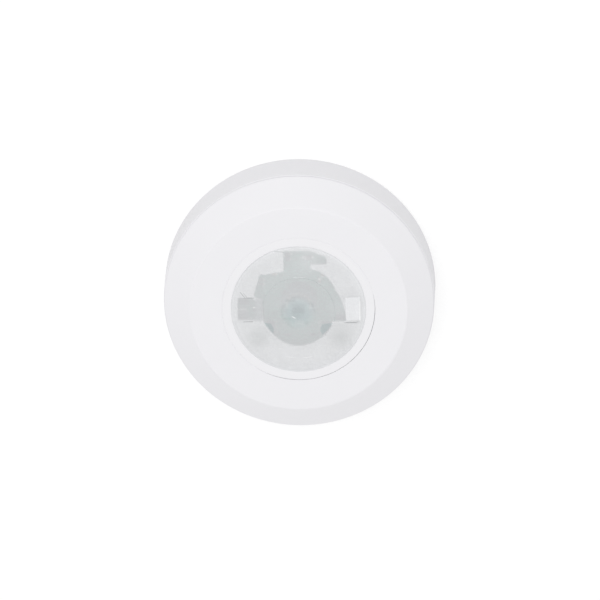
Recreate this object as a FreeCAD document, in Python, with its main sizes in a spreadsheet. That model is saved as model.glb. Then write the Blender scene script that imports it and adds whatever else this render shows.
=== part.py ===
import FreeCAD, Part
import math
import os
import Sketcher

# Round ceiling motion sensor, lens up. All lengths are millimetres.
# The origin is the centre of the mounting face and +Z runs out through the lens.

# Driving dimensions: name, size, what it is
DRIVING_SIZES = [
    ("outer_radius", 50.0, "radius of the back housing at its back"),
    ("wall_draft", 0.1, "how far the side wall draws in towards its top"),
    ("wall_height", 16.5, "top of the side wall above the back"),
    ("wall_thickness", 2.4, "side wall"),
    ("floor_thickness", 2.2, "back plate, measured from the seat rim"),
    ("back_recess", 0.8, "hollow of the back inside the seat rim"),
    ("seat_rim_width", 7.0, "rim that rests on the ceiling"),
    ("edge_chamfer", 0.8, "chamfer round the back edge"),
    ("small_chamfer", 0.3, "chamfer on the edges of the parting line"),
    ("back_rib_width", 1.4, "ribs in the hollow of the back"),
    ("back_rib_count", 12.0, "ribs in the hollow of the back"),
    ("hub_radius", 9.0, "round pad in the middle of the back"),
    ("screw_spacing", 60.0, "distance between the two screw slots"),
    ("screw_slot_width", 4.5, "slot for a 4 mm screw"),
    ("screw_slot_length", 9.0, "slot from end to end"),
    ("screw_pad_margin", 3.4, "pad round each slot"),
    ("cover_setback", 0.5, "cover edge inside the side wall"),
    ("cover_gap", 0.1, "parting gap between wall and cover"),
    ("cover_lip", 0.4, "upright lip of the cover below its bevel"),
    ("face_height", 24.5, "flat front face above the back"),
    ("bevel_width", 9.5, "bevel between the cover's edge and its flat face"),
    ("cover_thickness", 2.0, "cover wall"),
    ("face_rounding", 1.0, "rounding where bevel and face meet"),
    ("cover_rib_width", 1.2, "radial ribs under the face"),
    ("cover_rib_depth", 1.0, "radial ribs under the face"),
    ("skirt_thickness", 1.6, "skirt of the cover inside the wall"),
    ("skirt_gap", 0.3, "skirt to the twist locks of the wall"),
    ("skirt_bottom", 10.6, "lower end of the skirt above the back"),
    ("lock_reach", 1.5, "twist locks stand in from the wall"),
    ("lock_top", 15.2, "upper side of the twist locks"),
    ("lock_thickness", 1.7, "twist locks along the axis"),
    ("lock_play", 0.15, "between a lock and its hook"),
    ("hook_thickness", 1.8, "hooks of the skirt along the axis"),
    ("lock_angle", 16.0, "arc of a lock in degrees"),
    ("hook_angle", 13.0, "arc of a hook in degrees"),
    ("twist_angle", 20.0, "turn of the cover from locked to free in degrees"),
    ("stop_angle", 2.0, "arc of a stop in degrees"),
    ("stop_play_angle", 0.5, "hook to stop in degrees"),
    ("seam_radius", 28.2, "opening of the cover round the lens ring"),
    ("seam_gap", 0.25, "seam round the lens ring"),
    ("seam_chamfer", 0.1, "broken edges of the seam"),
    ("ring_depth", 1.8, "lens ring above its ledge"),
    ("ledge_width", 1.4, "ledge that carries the lens ring"),
    ("ledge_thickness", 1.1, "ledge that carries the lens ring"),
    ("collar_wall", 1.6, "boss round the opening of the cover"),
    ("ring_width", 3.2, "lens ring from the cover's opening to the lens"),
    ("lens_rise", 3.4, "lens above the front face"),
    ("lens_thickness", 0.7, "lens"),
    ("lens_edge_gap", 0.1, "lens to the opening of the ring"),
    ("lens_flange", 0.6, "flange of the lens outside its opening"),
    ("lens_flange_depth", 0.9, "flange below the front face"),
    ("lens_zone_radius", 13.4, "middle zone of the lens"),
    ("lens_zone_step", 0.15, "middle zone stands above the outer zone"),
    ("groove_count", 4.0, "rings of the lens in its middle zone"),
    ("groove_depth", 0.25, "rings of the lens"),
    ("clip_wall", 0.9, "skirt of the lens ring"),
    ("clip_depth", 3.95, "skirt of the lens ring below the front face"),
    ("clip_gap", 0.3, "skirt of the lens ring to the ledge"),
    ("clip_reach", 0.9, "snap hooks under the ledge"),
    ("clip_angle", 16.0, "arc of a snap hook in degrees"),
    ("clip_slot", 1.2, "slots that free the snap hooks"),
    ("guard_thickness", 1.2, "plate of the light guard"),
    ("guard_depth", 3.0, "underside of the guard plate below the front face"),
    ("guard_mouth_margin", 1.8, "mouth of the light guard outside the lens's middle zone"),
    ("wide_mouth_margin", 1.8, "wide side of the mouth outside its narrow side"),
    ("wide_mouth_start", 5.9, "step between the two sides, from the X axis towards -Y"),
    ("guard_wall", 1.0, "skirt of the light guard"),
    ("guard_skirt_margin", 1.6, "skirt of the light guard outside its mouth"),
    ("guard_skirt_depth", 3.7, "skirt of the light guard below its plate"),
    ("notch_width", 10.0, "notch from the guard's mouth towards +Y"),
    ("notch_inset", 2.8, "notch, window and pad from the opening of the lens ring"),
    ("notch_depth", 5.2, "notch and window below the top of the guard"),
    ("notch_slot_reach", 6.1, "side slot of the notch"),
    ("notch_slot_width", 3.6, "side slot of the notch"),
    ("window_width", 9.0, "window in the guard plate on the -X side"),
    ("window_offset", 1.2, "window from the X axis, towards -Y"),
    ("bridge_width", 2.6, "bridge between the window and the mouth"),
    ("bridge_end", 1.1, "upper end of the bridge beyond the window"),
    ("guard_pad_width", 9.4, "raised pad of the guard on the +X side"),
    ("guard_pad_offset", 0.4, "raised pad from the X axis, towards -Y"),
    ("guard_pad_height", 1.2, "raised pad of the guard"),
    ("guard_slit", 0.6, "slit beside the raised pad"),
    ("board_bottom", 12.0, "underside of the circuit board above the back"),
    ("board_thickness", 1.6, "circuit board"),
    ("board_skirt_gap", 1.7, "round end of the circuit board to the skirt"),
    ("board_slot_gap", 2.5, "straight sides of the circuit board to the screw slots"),
    ("board_battery_gap", 0.9, "straight edge of the circuit board to the battery holder"),
    ("boss_radius", 3.2, "posts that carry the circuit board"),
    ("board_screw_shank", 0.95, "board screws"),
    ("board_screw_head", 2.2, "board screws"),
    ("board_screw_head_height", 1.6, "board screws"),
    ("board_screw_length", 7.0, "board screws below the circuit board"),
    ("fit_gap", 0.1, "gap round small fitted pieces"),
    ("near_screw_inset", 8.5, "board screws from the straight edge beside the battery"),
    ("near_screw_side", 3.4, "the same screws from the straight sides"),
    ("far_screw_inset", 5.2, "board screws from the round end"),
    ("far_screw_side", 5.6, "the same screws from the straight sides"),
    ("battery_radius", 8.5, "battery cell"),
    ("battery_length", 33.5, "battery cell without its nub"),
    ("battery_nub", 1.0, "positive nub of the battery cell"),
    ("battery_nub_radius", 3.2, "positive nub of the battery cell"),
    ("battery_skirt_gap", 1.0, "battery cell to the skirt"),
    ("holder_wall", 1.0, "battery holder"),
    ("holder_half_length", 14.0, "side walls of the battery holder"),
    ("holder_height", 5.6, "side walls of the battery holder"),
    ("holder_end_half_width", 6.0, "end walls of the battery holder"),
    ("holder_end_height", 13.6, "end walls of the battery holder"),
    ("contact_space", 1.6, "battery to the end walls of its holder"),
    ("contact_thickness", 0.4, "battery contacts"),
    ("tamper_inset", 6.0, "tamper switch from the rim of the flat face"),
    ("tamper_travel", 1.0, "travel of the tamper plunger"),
    ("tamper_height", 4.0, "tamper switch above the circuit board"),
    ("tamper_shaft", 1.0, "radius of the tamper plunger"),
    ("tamper_showing", 0.8, "plunger above its switch when pressed"),
    ("tamper_collar", 1.8, "collar that keeps the plunger in its switch"),
    ("tamper_collar_height", 0.5, "collar that keeps the plunger in its switch"),
    ("tamper_rest", 1.2, "pressed plunger above the circuit board"),
    ("tamper_ball", 1.25, "radius of the plunger's domed tip"),
    ("ramp_gap", 0.12, "plunger to the ramp of the cover"),
    ("sensor_standoff", 5.8, "spacer under the heat sensor"),
    ("sensor_can_radius", 4.1, "can of the heat sensor"),
    ("sensor_can_height", 3.7, "can of the heat sensor"),
    ("sensor_flange_radius", 4.6, "flange of the heat sensor"),
    ("sensor_flange_height", 0.5, "flange of the heat sensor"),
    ("sensor_can_wall", 0.25, "can of the heat sensor"),
    ("spacer_margin", 1.9, "spacer outside the flange of the heat sensor"),
    ("window_length", 4.7, "hole in the can over the filter window"),
    ("window_breadth", 3.7, "hole in the can over the filter window"),
    ("lead_reach", 1.5, "leads and pins below the circuit board"),
    ("sensor_lead_radius", 0.23, "leads of the heat sensor"),
    ("sensor_lead_circle", 2.54, "leads of the heat sensor from its axis"),
    ("switch_side", 6.0, "side of the small switches"),
    ("button_radius", 1.75, "pairing button"),
    ("button_height", 3.0, "pairing button"),
    ("button_travel", 0.25, "travel of the pairing button"),
    ("slider_travel", 0.9, "travel of a mode slider"),
    ("pairing_x", -12.8, "place of the pairing switch along X"),
    ("pairing_inset", 3.4, "pairing switch from the side of the board"),
    ("pairing_height", 3.5, "pairing switch above the circuit board"),
    ("mode_x", -12.0, "place of the mode switch along X"),
    ("mode_inset", 3.1, "mode switch from the side of the board"),
    ("mode_width", 6.2, "mode switch"),
    ("mode_depth", 5.4, "mode switch"),
    ("mode_height", 2.8, "mode switch"),
    ("slider_width", 1.1, "mode slider"),
    ("slider_height", 1.6, "mode slider"),
    ("slider_seat", 1.6, "floor of the slider slots above the circuit board"),
    ("light_offset", 9.2, "status light from the sensor axis"),
    ("light_width", 3.2, "status light"),
    ("light_depth", 2.4, "status light"),
    ("light_height", 0.9, "status light"),
    ("shield_x", -25.0, "place of the radio shield"),
    ("shield_y", -8.0, "place of the radio shield"),
    ("shield_length", 11.0, "radio shield"),
    ("shield_width", 9.5, "radio shield"),
    ("shield_height", 2.2, "radio shield"),
    ("shield_rounding", 0.4, "radio shield"),
    ("antenna_inset", 4.0, "chip antenna from the round end of the board"),
    ("antenna_y", -9.5, "place of the chip antenna"),
    ("antenna_length", 7.0, "chip antenna"),
    ("antenna_width", 2.0, "chip antenna"),
    ("antenna_height", 1.0, "chip antenna"),
    ("controller_x", -21.2, "place of the controller chip"),
    ("controller_y", 0.4, "place of the controller chip"),
    ("controller_side", 5.0, "controller chip"),
    ("controller_height", 0.9, "controller chip"),
    ("amplifier_x", -26.2, "place of the amplifier chip"),
    ("amplifier_y", 10.6, "place of the amplifier chip"),
    ("amplifier_length", 8.7, "amplifier chip"),
    ("amplifier_width", 3.9, "amplifier chip"),
    ("amplifier_height", 1.5, "amplifier chip"),
    ("leg_pitch", 1.27, "legs of the amplifier chip"),
    ("leg_count", 7.0, "legs on each side of the amplifier chip"),
    ("leg_width", 0.4, "legs of the amplifier chip"),
    ("leg_thickness", 0.2, "legs of the amplifier chip"),
    ("leg_span", 6.0, "amplifier chip over its legs"),
    ("crystal_x", -18.4, "place of the clock crystal along X"),
    ("crystal_inset", 6.8, "clock crystal from the side of the board"),
    ("crystal_length", 10.8, "flange of the clock crystal"),
    ("crystal_width", 4.4, "flange of the clock crystal"),
    ("crystal_flange", 0.4, "flange of the clock crystal, its height and its reach"),
    ("crystal_height", 3.5, "clock crystal"),
    ("capacitor_radius", 2.0, "capacitor can"),
    ("capacitor_height", 5.4, "capacitor"),
    ("capacitor_foot", 0.8, "foot of a capacitor"),
    ("capacitor_inset", 2.4, "capacitors from the side of the board"),
    ("capacitor_near", -18.4, "place of the first capacitor along X"),
    ("capacitor_pitch", 4.5, "distance between the capacitors"),
    ("pin_inset", 1.3, "battery contact pins from the edge of the board"),
]

document = FreeCAD.newDocument("MotionSensor")
sheet = document.addObject("Spreadsheet::Sheet", "Sizes")
nodes = []


class Measure:
    """A size that knows its value and the same sum written with the sheet's names."""

    def __init__(self, value, text):
        self.value = value
        self.text = text

    def __add__(self, other):
        other = measured(other)
        return Measure(self.value + other.value, f"({self.text} + {other.text})")

    def __sub__(self, other):
        other = measured(other)
        return Measure(self.value - other.value, f"({self.text} - {other.text})")

    def __mul__(self, other):
        other = measured(other)
        return Measure(self.value * other.value, f"({self.text} * {other.text})")

    def __truediv__(self, other):
        other = measured(other)
        return Measure(self.value / other.value, f"({self.text} / {other.text})")

    def __neg__(self):
        return Measure(-self.value, f"(0 - {self.text})")

    def __radd__(self, other):
        return measured(other) + self

    def __rsub__(self, other):
        return measured(other) - self

    def __rmul__(self, other):
        return measured(other) * self

    def root(self):
        return Measure(math.sqrt(self.value), f"sqrt({self.text})")

    def sine(self):
        return Measure(math.sin(math.radians(self.value)), f"sin({self.text})")

    def cosine(self):
        return Measure(math.cos(math.radians(self.value)), f"cos({self.text})")


def measured(amount):
    if isinstance(amount, Measure):
        return amount
    return Measure(float(amount), f"({float(amount)!r})")


def fill_sheet():
    """Writes the driving dimensions and returns them by name."""
    sizes = {}
    for row, (name, value, meaning) in enumerate(DRIVING_SIZES, start=1):
        sheet.set(f"A{row}", name)
        sheet.set(f"B{row}", str(value))
        sheet.set(f"C{row}", meaning)
        sheet.setAlias(f"B{row}", name)
        sizes[name] = Measure(value, f"Sizes.{name}")
    document.recompute()
    return sizes


S = fill_sheet()


# Helpers for features
def bind(item, path, amount):
    item.setExpression(path, measured(amount).text)


def new_body(label):
    body = document.addObject("PartDesign::Body", label)
    nodes.append(body)
    return body


def origin_part(body, role):
    return [item for item in body.Origin.OriginFeatures if item.Role == role][0]


def new_sketch(body, name, role, height):
    """A sketch on one of the body's own planes, moved out along the plane's normal."""
    sketch = body.newObject("Sketcher::SketchObject", name)
    sketch.AttachmentSupport = [(origin_part(body, role), "")]
    sketch.MapMode = "FlatFace"
    bind(sketch, "AttachmentOffset.Base.z", height)
    return sketch


def pin_point(sketch, geometry, position, point):
    """Ties one point of a sketch to the sheet."""
    for kind, amount in zip(("DistanceX", "DistanceY"), point):
        amount = measured(amount)
        index = sketch.addConstraint(
            Sketcher.Constraint(kind, -1, 1, geometry, position, amount.value)
        )
        sketch.setExpression(f"Constraints[{index}]", amount.text)


def draw_outline(sketch, points, arcs=None):
    """A closed outline through the points.

    arcs gives, for the edge after a point, the height of the arc's centre on the sketch's
    upright axis.
    """
    arcs = arcs or {}
    first = sketch.GeometryCount
    corners = [FreeCAD.Vector(measured(x).value, measured(y).value, 0) for x, y in points]
    ends = []
    for index, start in enumerate(corners):
        finish = corners[(index + 1) % len(corners)]
        if index in arcs:
            centre = FreeCAD.Vector(0, measured(arcs[index]).value, 0)
            angles = [math.atan2(end.y - centre.y, end.x) for end in (start, finish)]
            turn = (angles[1] - angles[0]) % (2 * math.pi)
            forward = turn < math.pi
            low, high = angles if forward else reversed(angles)
            circle = Part.Circle(centre, FreeCAD.Vector(0, 0, 1), (start - centre).Length)
            sketch.addGeometry(Part.ArcOfCircle(circle, low, high), False)
            ends.append((1, 2) if forward else (2, 1))
        else:
            sketch.addGeometry(Part.LineSegment(start, finish), False)
            ends.append((1, 2))
    joins = []
    for index in range(len(corners)):
        after = (index + 1) % len(corners)
        joins.append(
            Sketcher.Constraint(
                "Coincident", first + index, ends[index][1], first + after, ends[after][0]
            )
        )
    for index in arcs:
        joins.append(Sketcher.Constraint("PointOnObject", first + index, 3, -2))
    sketch.addConstraint(joins)
    for index, point in enumerate(points):
        pin_point(sketch, first + index, ends[index][0], point)


def draw_circle(sketch, centre, radius):
    radius = measured(radius)
    place = FreeCAD.Vector(measured(centre[0]).value, measured(centre[1]).value, 0)
    circle = Part.Circle(place, FreeCAD.Vector(0, 0, 1), radius.value)
    geometry = sketch.addGeometry(circle, False)
    pin_point(sketch, geometry, 3, centre)
    index = sketch.addConstraint(Sketcher.Constraint("Radius", geometry, radius.value))
    sketch.setExpression(f"Constraints[{index}]", radius.text)


def draw_upright_slot(sketch, centre, length, width):
    """A slot with round ends that runs along the sketch's upright direction."""
    radius = measured(width) / 2
    reach = measured(length) / 2 - radius
    ends = [centre[1] + reach, centre[1] - reach]
    first = sketch.GeometryCount
    for end, start_angle in zip(ends, (0, math.pi)):
        place = FreeCAD.Vector(measured(centre[0]).value, end.value, 0)
        circle = Part.Circle(place, FreeCAD.Vector(0, 0, 1), radius.value)
        sketch.addGeometry(Part.ArcOfCircle(circle, start_angle, start_angle + math.pi), False)
    upper, lower = first, first + 1
    middle = measured(centre[0]).value
    for side in (-1, 1):
        offset = middle + side * radius.value
        top = FreeCAD.Vector(offset, ends[0].value, 0)
        bottom = FreeCAD.Vector(offset, ends[1].value, 0)
        sketch.addGeometry(Part.LineSegment(top, bottom), False)
    left, right = first + 2, first + 3
    sketch.addConstraint(
        [
            Sketcher.Constraint("Tangent", upper, 2, left, 1),
            Sketcher.Constraint("Tangent", left, 2, lower, 1),
            Sketcher.Constraint("Tangent", lower, 2, right, 2),
            Sketcher.Constraint("Tangent", right, 1, upper, 1),
        ]
    )
    pin_point(sketch, upper, 3, (centre[0], ends[0]))
    pin_point(sketch, lower, 3, (centre[0], ends[1]))
    index = sketch.addConstraint(Sketcher.Constraint("Radius", upper, radius.value))
    sketch.setExpression(f"Constraints[{index}]", radius.text)


def pad(body, name, sketch, length, symmetric=False):
    feature = body.newObject("PartDesign::Pad", name)
    feature.Profile = sketch
    feature.SideType = "Symmetric" if symmetric else "One side"
    bind(feature, "Length", length)
    return feature


def pocket(body, name, sketch, length):
    """Cuts down from the sketch, against its normal."""
    feature = body.newObject("PartDesign::Pocket", name)
    feature.Profile = sketch
    bind(feature, "Length", length)
    return feature


def revolve(body, name, points, arcs=None):
    """Turns a profile of radius and height about the body's Z axis."""
    sketch = new_sketch(body, name + "_profile", "XZ_Plane", 0)
    draw_outline(sketch, points, arcs)
    feature = body.newObject("PartDesign::Revolution", name)
    feature.Profile = sketch
    feature.ReferenceAxis = (sketch, ["V_Axis"])
    feature.Angle = 360
    return feature


def ring_sector(body, name, inner, outer, low, high, middle_angle, span):
    """A piece of a ring between two heights, centred on an angle about the Z axis."""
    sketch = new_sketch(body, name + "_outline", "XY_Plane", low)
    start = measured(middle_angle) - span / 2
    finish = measured(middle_angle) + span / 2
    corners = [
        polar(inner, start),
        polar(outer, start),
        polar(outer, finish),
        polar(inner, finish),
    ]
    draw_outline(sketch, corners, {1: 0, 3: 0})
    return pad(body, name, sketch, measured(high) - low)


def polar(radius, angle):
    angle = measured(angle)
    return (radius * angle.cosine(), radius * angle.sine())


def box_points(left, right, low, high):
    return [(left, low), (right, low), (right, high), (left, high)]


def repeat_round(body, name, features, count):
    """Repeats features about the body's Z axis."""
    feature = body.newObject("PartDesign::PolarPattern", name)
    feature.Originals = features
    feature.Axis = (origin_part(body, "Z_Axis"), [""])
    feature.Angle = 360
    bind(feature, "Occurrences", count)
    body.Tip = feature
    return feature


def round_edges_at(body, feature, name, radius_at, height_at, rounding, chamfer=False):
    """Rounds or chamfers the full circles that lie at a radius and height."""
    document.recompute()
    wanted_radius = measured(radius_at).value
    wanted_height = measured(height_at).value
    chosen = []
    for index, edge in enumerate(feature.Shape.Edges, start=1):
        if not isinstance(edge.Curve, Part.Circle):
            continue
        same_radius = math.isclose(edge.Curve.Radius, wanted_radius, abs_tol=0.01)
        if same_radius and math.isclose(edge.Curve.Center.z, wanted_height, abs_tol=0.01):
            chosen.append(f"Edge{index}")
    kind = "PartDesign::Chamfer" if chamfer else "PartDesign::Fillet"
    edge_feature = body.newObject(kind, name)
    edge_feature.Base = (feature, chosen)
    bind(edge_feature, "Size" if chamfer else "Radius", rounding)
    return edge_feature


# Helpers for plain solids
def place(item, corner):
    for letter, amount in zip("xyz", corner):
        bind(item, f"Placement.Base.{letter}", amount)


def block(name, corner, size):
    item = document.addObject("Part::Box", name)
    for side, amount in zip(("Length", "Width", "Height"), size):
        bind(item, side, amount)
    place(item, corner)
    return item


def centred_block(name, centre, size, base):
    """A block centred on a point of the board, standing on a height."""
    corner = (centre[0] - size[0] / 2, centre[1] - size[1] / 2, base)
    return block(name, corner, size)


def post(name, base, radius, height):
    item = document.addObject("Part::Cylinder", name)
    bind(item, "Radius", radius)
    bind(item, "Height", height)
    place(item, base)
    return item


def lying_post(name, end, radius, length):
    """A cylinder along +Y."""
    item = document.addObject("Part::Cylinder", name)
    bind(item, "Radius", radius)
    bind(item, "Height", length)
    item.Placement = FreeCAD.Placement(
        FreeCAD.Vector(), FreeCAD.Rotation(FreeCAD.Vector(1, 0, 0), -90)
    )
    place(item, end)
    return item


def joined(name, pieces):
    item = document.addObject("Part::MultiFuse", name)
    item.Shapes = pieces
    return item


def cut_from(name, base, tools):
    item = document.addObject("Part::Cut", name)
    item.Base = base
    item.Tool = tools[0] if len(tools) == 1 else joined(name + "_tools", tools)
    return item


def group(name, pieces):
    item = document.addObject("Part::Compound", name)
    item.Links = pieces
    return item


def as_node(item):
    nodes.append(item)
    return item


# Heights and radii that several pieces share
BOARD_TOP = S["board_bottom"] + S["board_thickness"]
WALL_INNER = S["outer_radius"] - S["wall_draft"] - S["wall_thickness"]
LOCK_INNER = WALL_INNER - S["lock_reach"]
SKIRT_OUTER = LOCK_INNER - S["skirt_gap"]
SKIRT_INNER = SKIRT_OUTER - S["skirt_thickness"]
LOCK_BOTTOM = S["lock_top"] - S["lock_thickness"]
HOOK_TOP = LOCK_BOTTOM - S["lock_play"]
HOOK_BOTTOM = HOOK_TOP - S["hook_thickness"]
COVER_BOTTOM = S["wall_height"] + S["cover_gap"]
COVER_RADIUS = S["outer_radius"] - S["cover_setback"]
FACE_RADIUS = COVER_RADIUS - S["bevel_width"]
FACE_UNDERSIDE = S["face_height"] - S["cover_thickness"]
LEDGE_TOP = S["face_height"] - S["ring_depth"]
LEDGE_BOTTOM = LEDGE_TOP - S["ledge_thickness"]
LEDGE_INNER = S["seam_radius"] - S["ledge_width"]
CLIP_OUTER = LEDGE_INNER - S["clip_gap"]
CLIP_INNER = CLIP_OUTER - S["clip_wall"]
FLANGE_TOP = S["face_height"] - S["lens_flange_depth"]
FLANGE_BOTTOM = FLANGE_TOP - S["lens_thickness"]
GUARD_BOTTOM = S["face_height"] - S["guard_depth"]
LENS_OPENING = S["seam_radius"] - S["ring_width"]
SENSOR_BASE = BOARD_TOP + S["sensor_standoff"]
CELL_AXIS_HEIGHT = S["floor_thickness"] + S["holder_wall"] + S["battery_radius"] + S["fit_gap"]
CELL_HALF_LENGTH = (S["battery_length"] + S["battery_nub"]) / 2
CELL_CORNER = SKIRT_INNER - S["battery_skirt_gap"]
CELL_REACH = (CELL_CORNER * CELL_CORNER - CELL_HALF_LENGTH * CELL_HALF_LENGTH).root()
CELL_X = CELL_REACH - S["battery_radius"]
HOLDER_HALF_WIDTH = S["battery_radius"] + S["fit_gap"] + S["holder_wall"]
BOARD_EDGE = CELL_X - HOLDER_HALF_WIDTH - S["board_battery_gap"]
BOARD_RADIUS = SKIRT_INNER - S["board_skirt_gap"]
BOARD_SIDE = (S["screw_spacing"] - S["screw_slot_length"]) / 2 - S["board_slot_gap"]
TAMPER_RADIUS = FACE_RADIUS - S["tamper_inset"]
PLUNGER_TOP = BOARD_TOP + S["tamper_height"] + S["tamper_showing"]
LOCK_COUNT = 3
CLIP_COUNT = 4
FACE_RIB_COUNT = 6


def board_screw_places():
    """Two screws beside the battery and two near the round end of the board."""
    near_x = BOARD_EDGE - S["near_screw_inset"]
    near_y = BOARD_SIDE - S["near_screw_side"]
    far_circle = BOARD_RADIUS - S["far_screw_inset"]
    far_y = BOARD_SIDE - S["far_screw_side"]
    far_x = -(far_circle * far_circle - far_y * far_y).root()
    places = []
    for side in (-1, 1):
        places.append((near_x, side * near_y))
        places.append((far_x, side * far_y))
    return places


def build_base_housing():
    """Back housing: a round tub with twist locks, board posts and two screw slots."""
    body = new_body("base_housing")
    outer = S["outer_radius"]
    top = S["wall_height"]
    top_radius = outer - S["wall_draft"]
    seat_inner = outer - S["seat_rim_width"]
    recess = S["back_recess"]
    tub = [
        (0, recess),
        (seat_inner, recess),
        (seat_inner, 0),
        (outer - S["edge_chamfer"], 0),
        (outer, S["edge_chamfer"]),
        (top_radius, top - S["small_chamfer"]),
        (top_radius - S["small_chamfer"], top),
        (WALL_INNER, top),
        (WALL_INNER, S["floor_thickness"]),
        (0, S["floor_thickness"]),
    ]
    revolve(body, "tub", tub)

    # The hub and the slot pads stand level with the seat rim
    pads = new_sketch(body, "back_pads_outline", "XY_Plane", 0)
    draw_circle(pads, (0, 0), S["hub_radius"])
    for side in (-1, 1):
        centre = (0, side * S["screw_spacing"] / 2)
        margin = 2 * S["screw_pad_margin"]
        length = S["screw_slot_length"] + margin
        draw_upright_slot(pads, centre, length, S["screw_slot_width"] + margin)
    pad(body, "back_pads", pads, recess + S["floor_thickness"] / 2)

    # Ribs run from the hub to the rim
    rib = new_sketch(body, "back_rib_outline", "XY_Plane", recess / 4)
    half_rib = S["back_rib_width"] / 2
    rib_start = S["hub_radius"] - half_rib
    draw_outline(rib, box_points(rib_start, seat_inner + half_rib, -half_rib, half_rib))
    back_rib = pad(body, "back_rib", rib, recess)
    repeat_round(body, "back_ribs", [back_rib], S["back_rib_count"])

    slots = new_sketch(body, "screw_slots_outline", "XY_Plane", S["floor_thickness"])
    for side in (-1, 1):
        centre = (0, side * S["screw_spacing"] / 2)
        draw_upright_slot(slots, centre, S["screw_slot_length"], S["screw_slot_width"])
    pocket(body, "screw_slots", slots, S["floor_thickness"])

    posts = new_sketch(body, "board_posts_outline", "XY_Plane", S["floor_thickness"])
    for centre in board_screw_places():
        draw_circle(posts, centre, S["boss_radius"])
    pad(body, "board_posts", posts, S["board_bottom"] - S["floor_thickness"])
    pilots = new_sketch(body, "pilot_holes_outline", "XY_Plane", S["board_bottom"])
    for centre in board_screw_places():
        draw_circle(pilots, centre, S["board_screw_shank"] + S["fit_gap"] / 2)
    pocket(body, "pilot_holes", pilots, S["board_screw_length"] + S["fit_gap"])

    # Each lock has a stop at its closed end and one past its free end
    root = WALL_INNER + S["wall_thickness"] / 4
    lock = ring_sector(
        body, "lock", LOCK_INNER, root, LOCK_BOTTOM, S["lock_top"], 0, S["lock_angle"]
    )
    stop_offset = (S["hook_angle"] + S["stop_angle"]) / 2 + S["stop_play_angle"]
    closed_stop = ring_sector(
        body, "closed_stop", LOCK_INNER, root, HOOK_BOTTOM, S["lock_top"],
        -stop_offset, S["stop_angle"],
    )
    open_stop = ring_sector(
        body, "open_stop", LOCK_INNER, root, HOOK_BOTTOM, S["lock_top"],
        S["twist_angle"] + stop_offset, S["stop_angle"],
    )
    repeat_round(body, "locks", [lock, closed_stop, open_stop], LOCK_COUNT)


def bevel_height(radius):
    """Height of the cover's outer bevel at a radius."""
    bevel_start = COVER_BOTTOM + S["cover_lip"]
    slope = (S["face_height"] - bevel_start) / S["bevel_width"]
    return bevel_start + (COVER_RADIUS - radius) * slope


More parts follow.
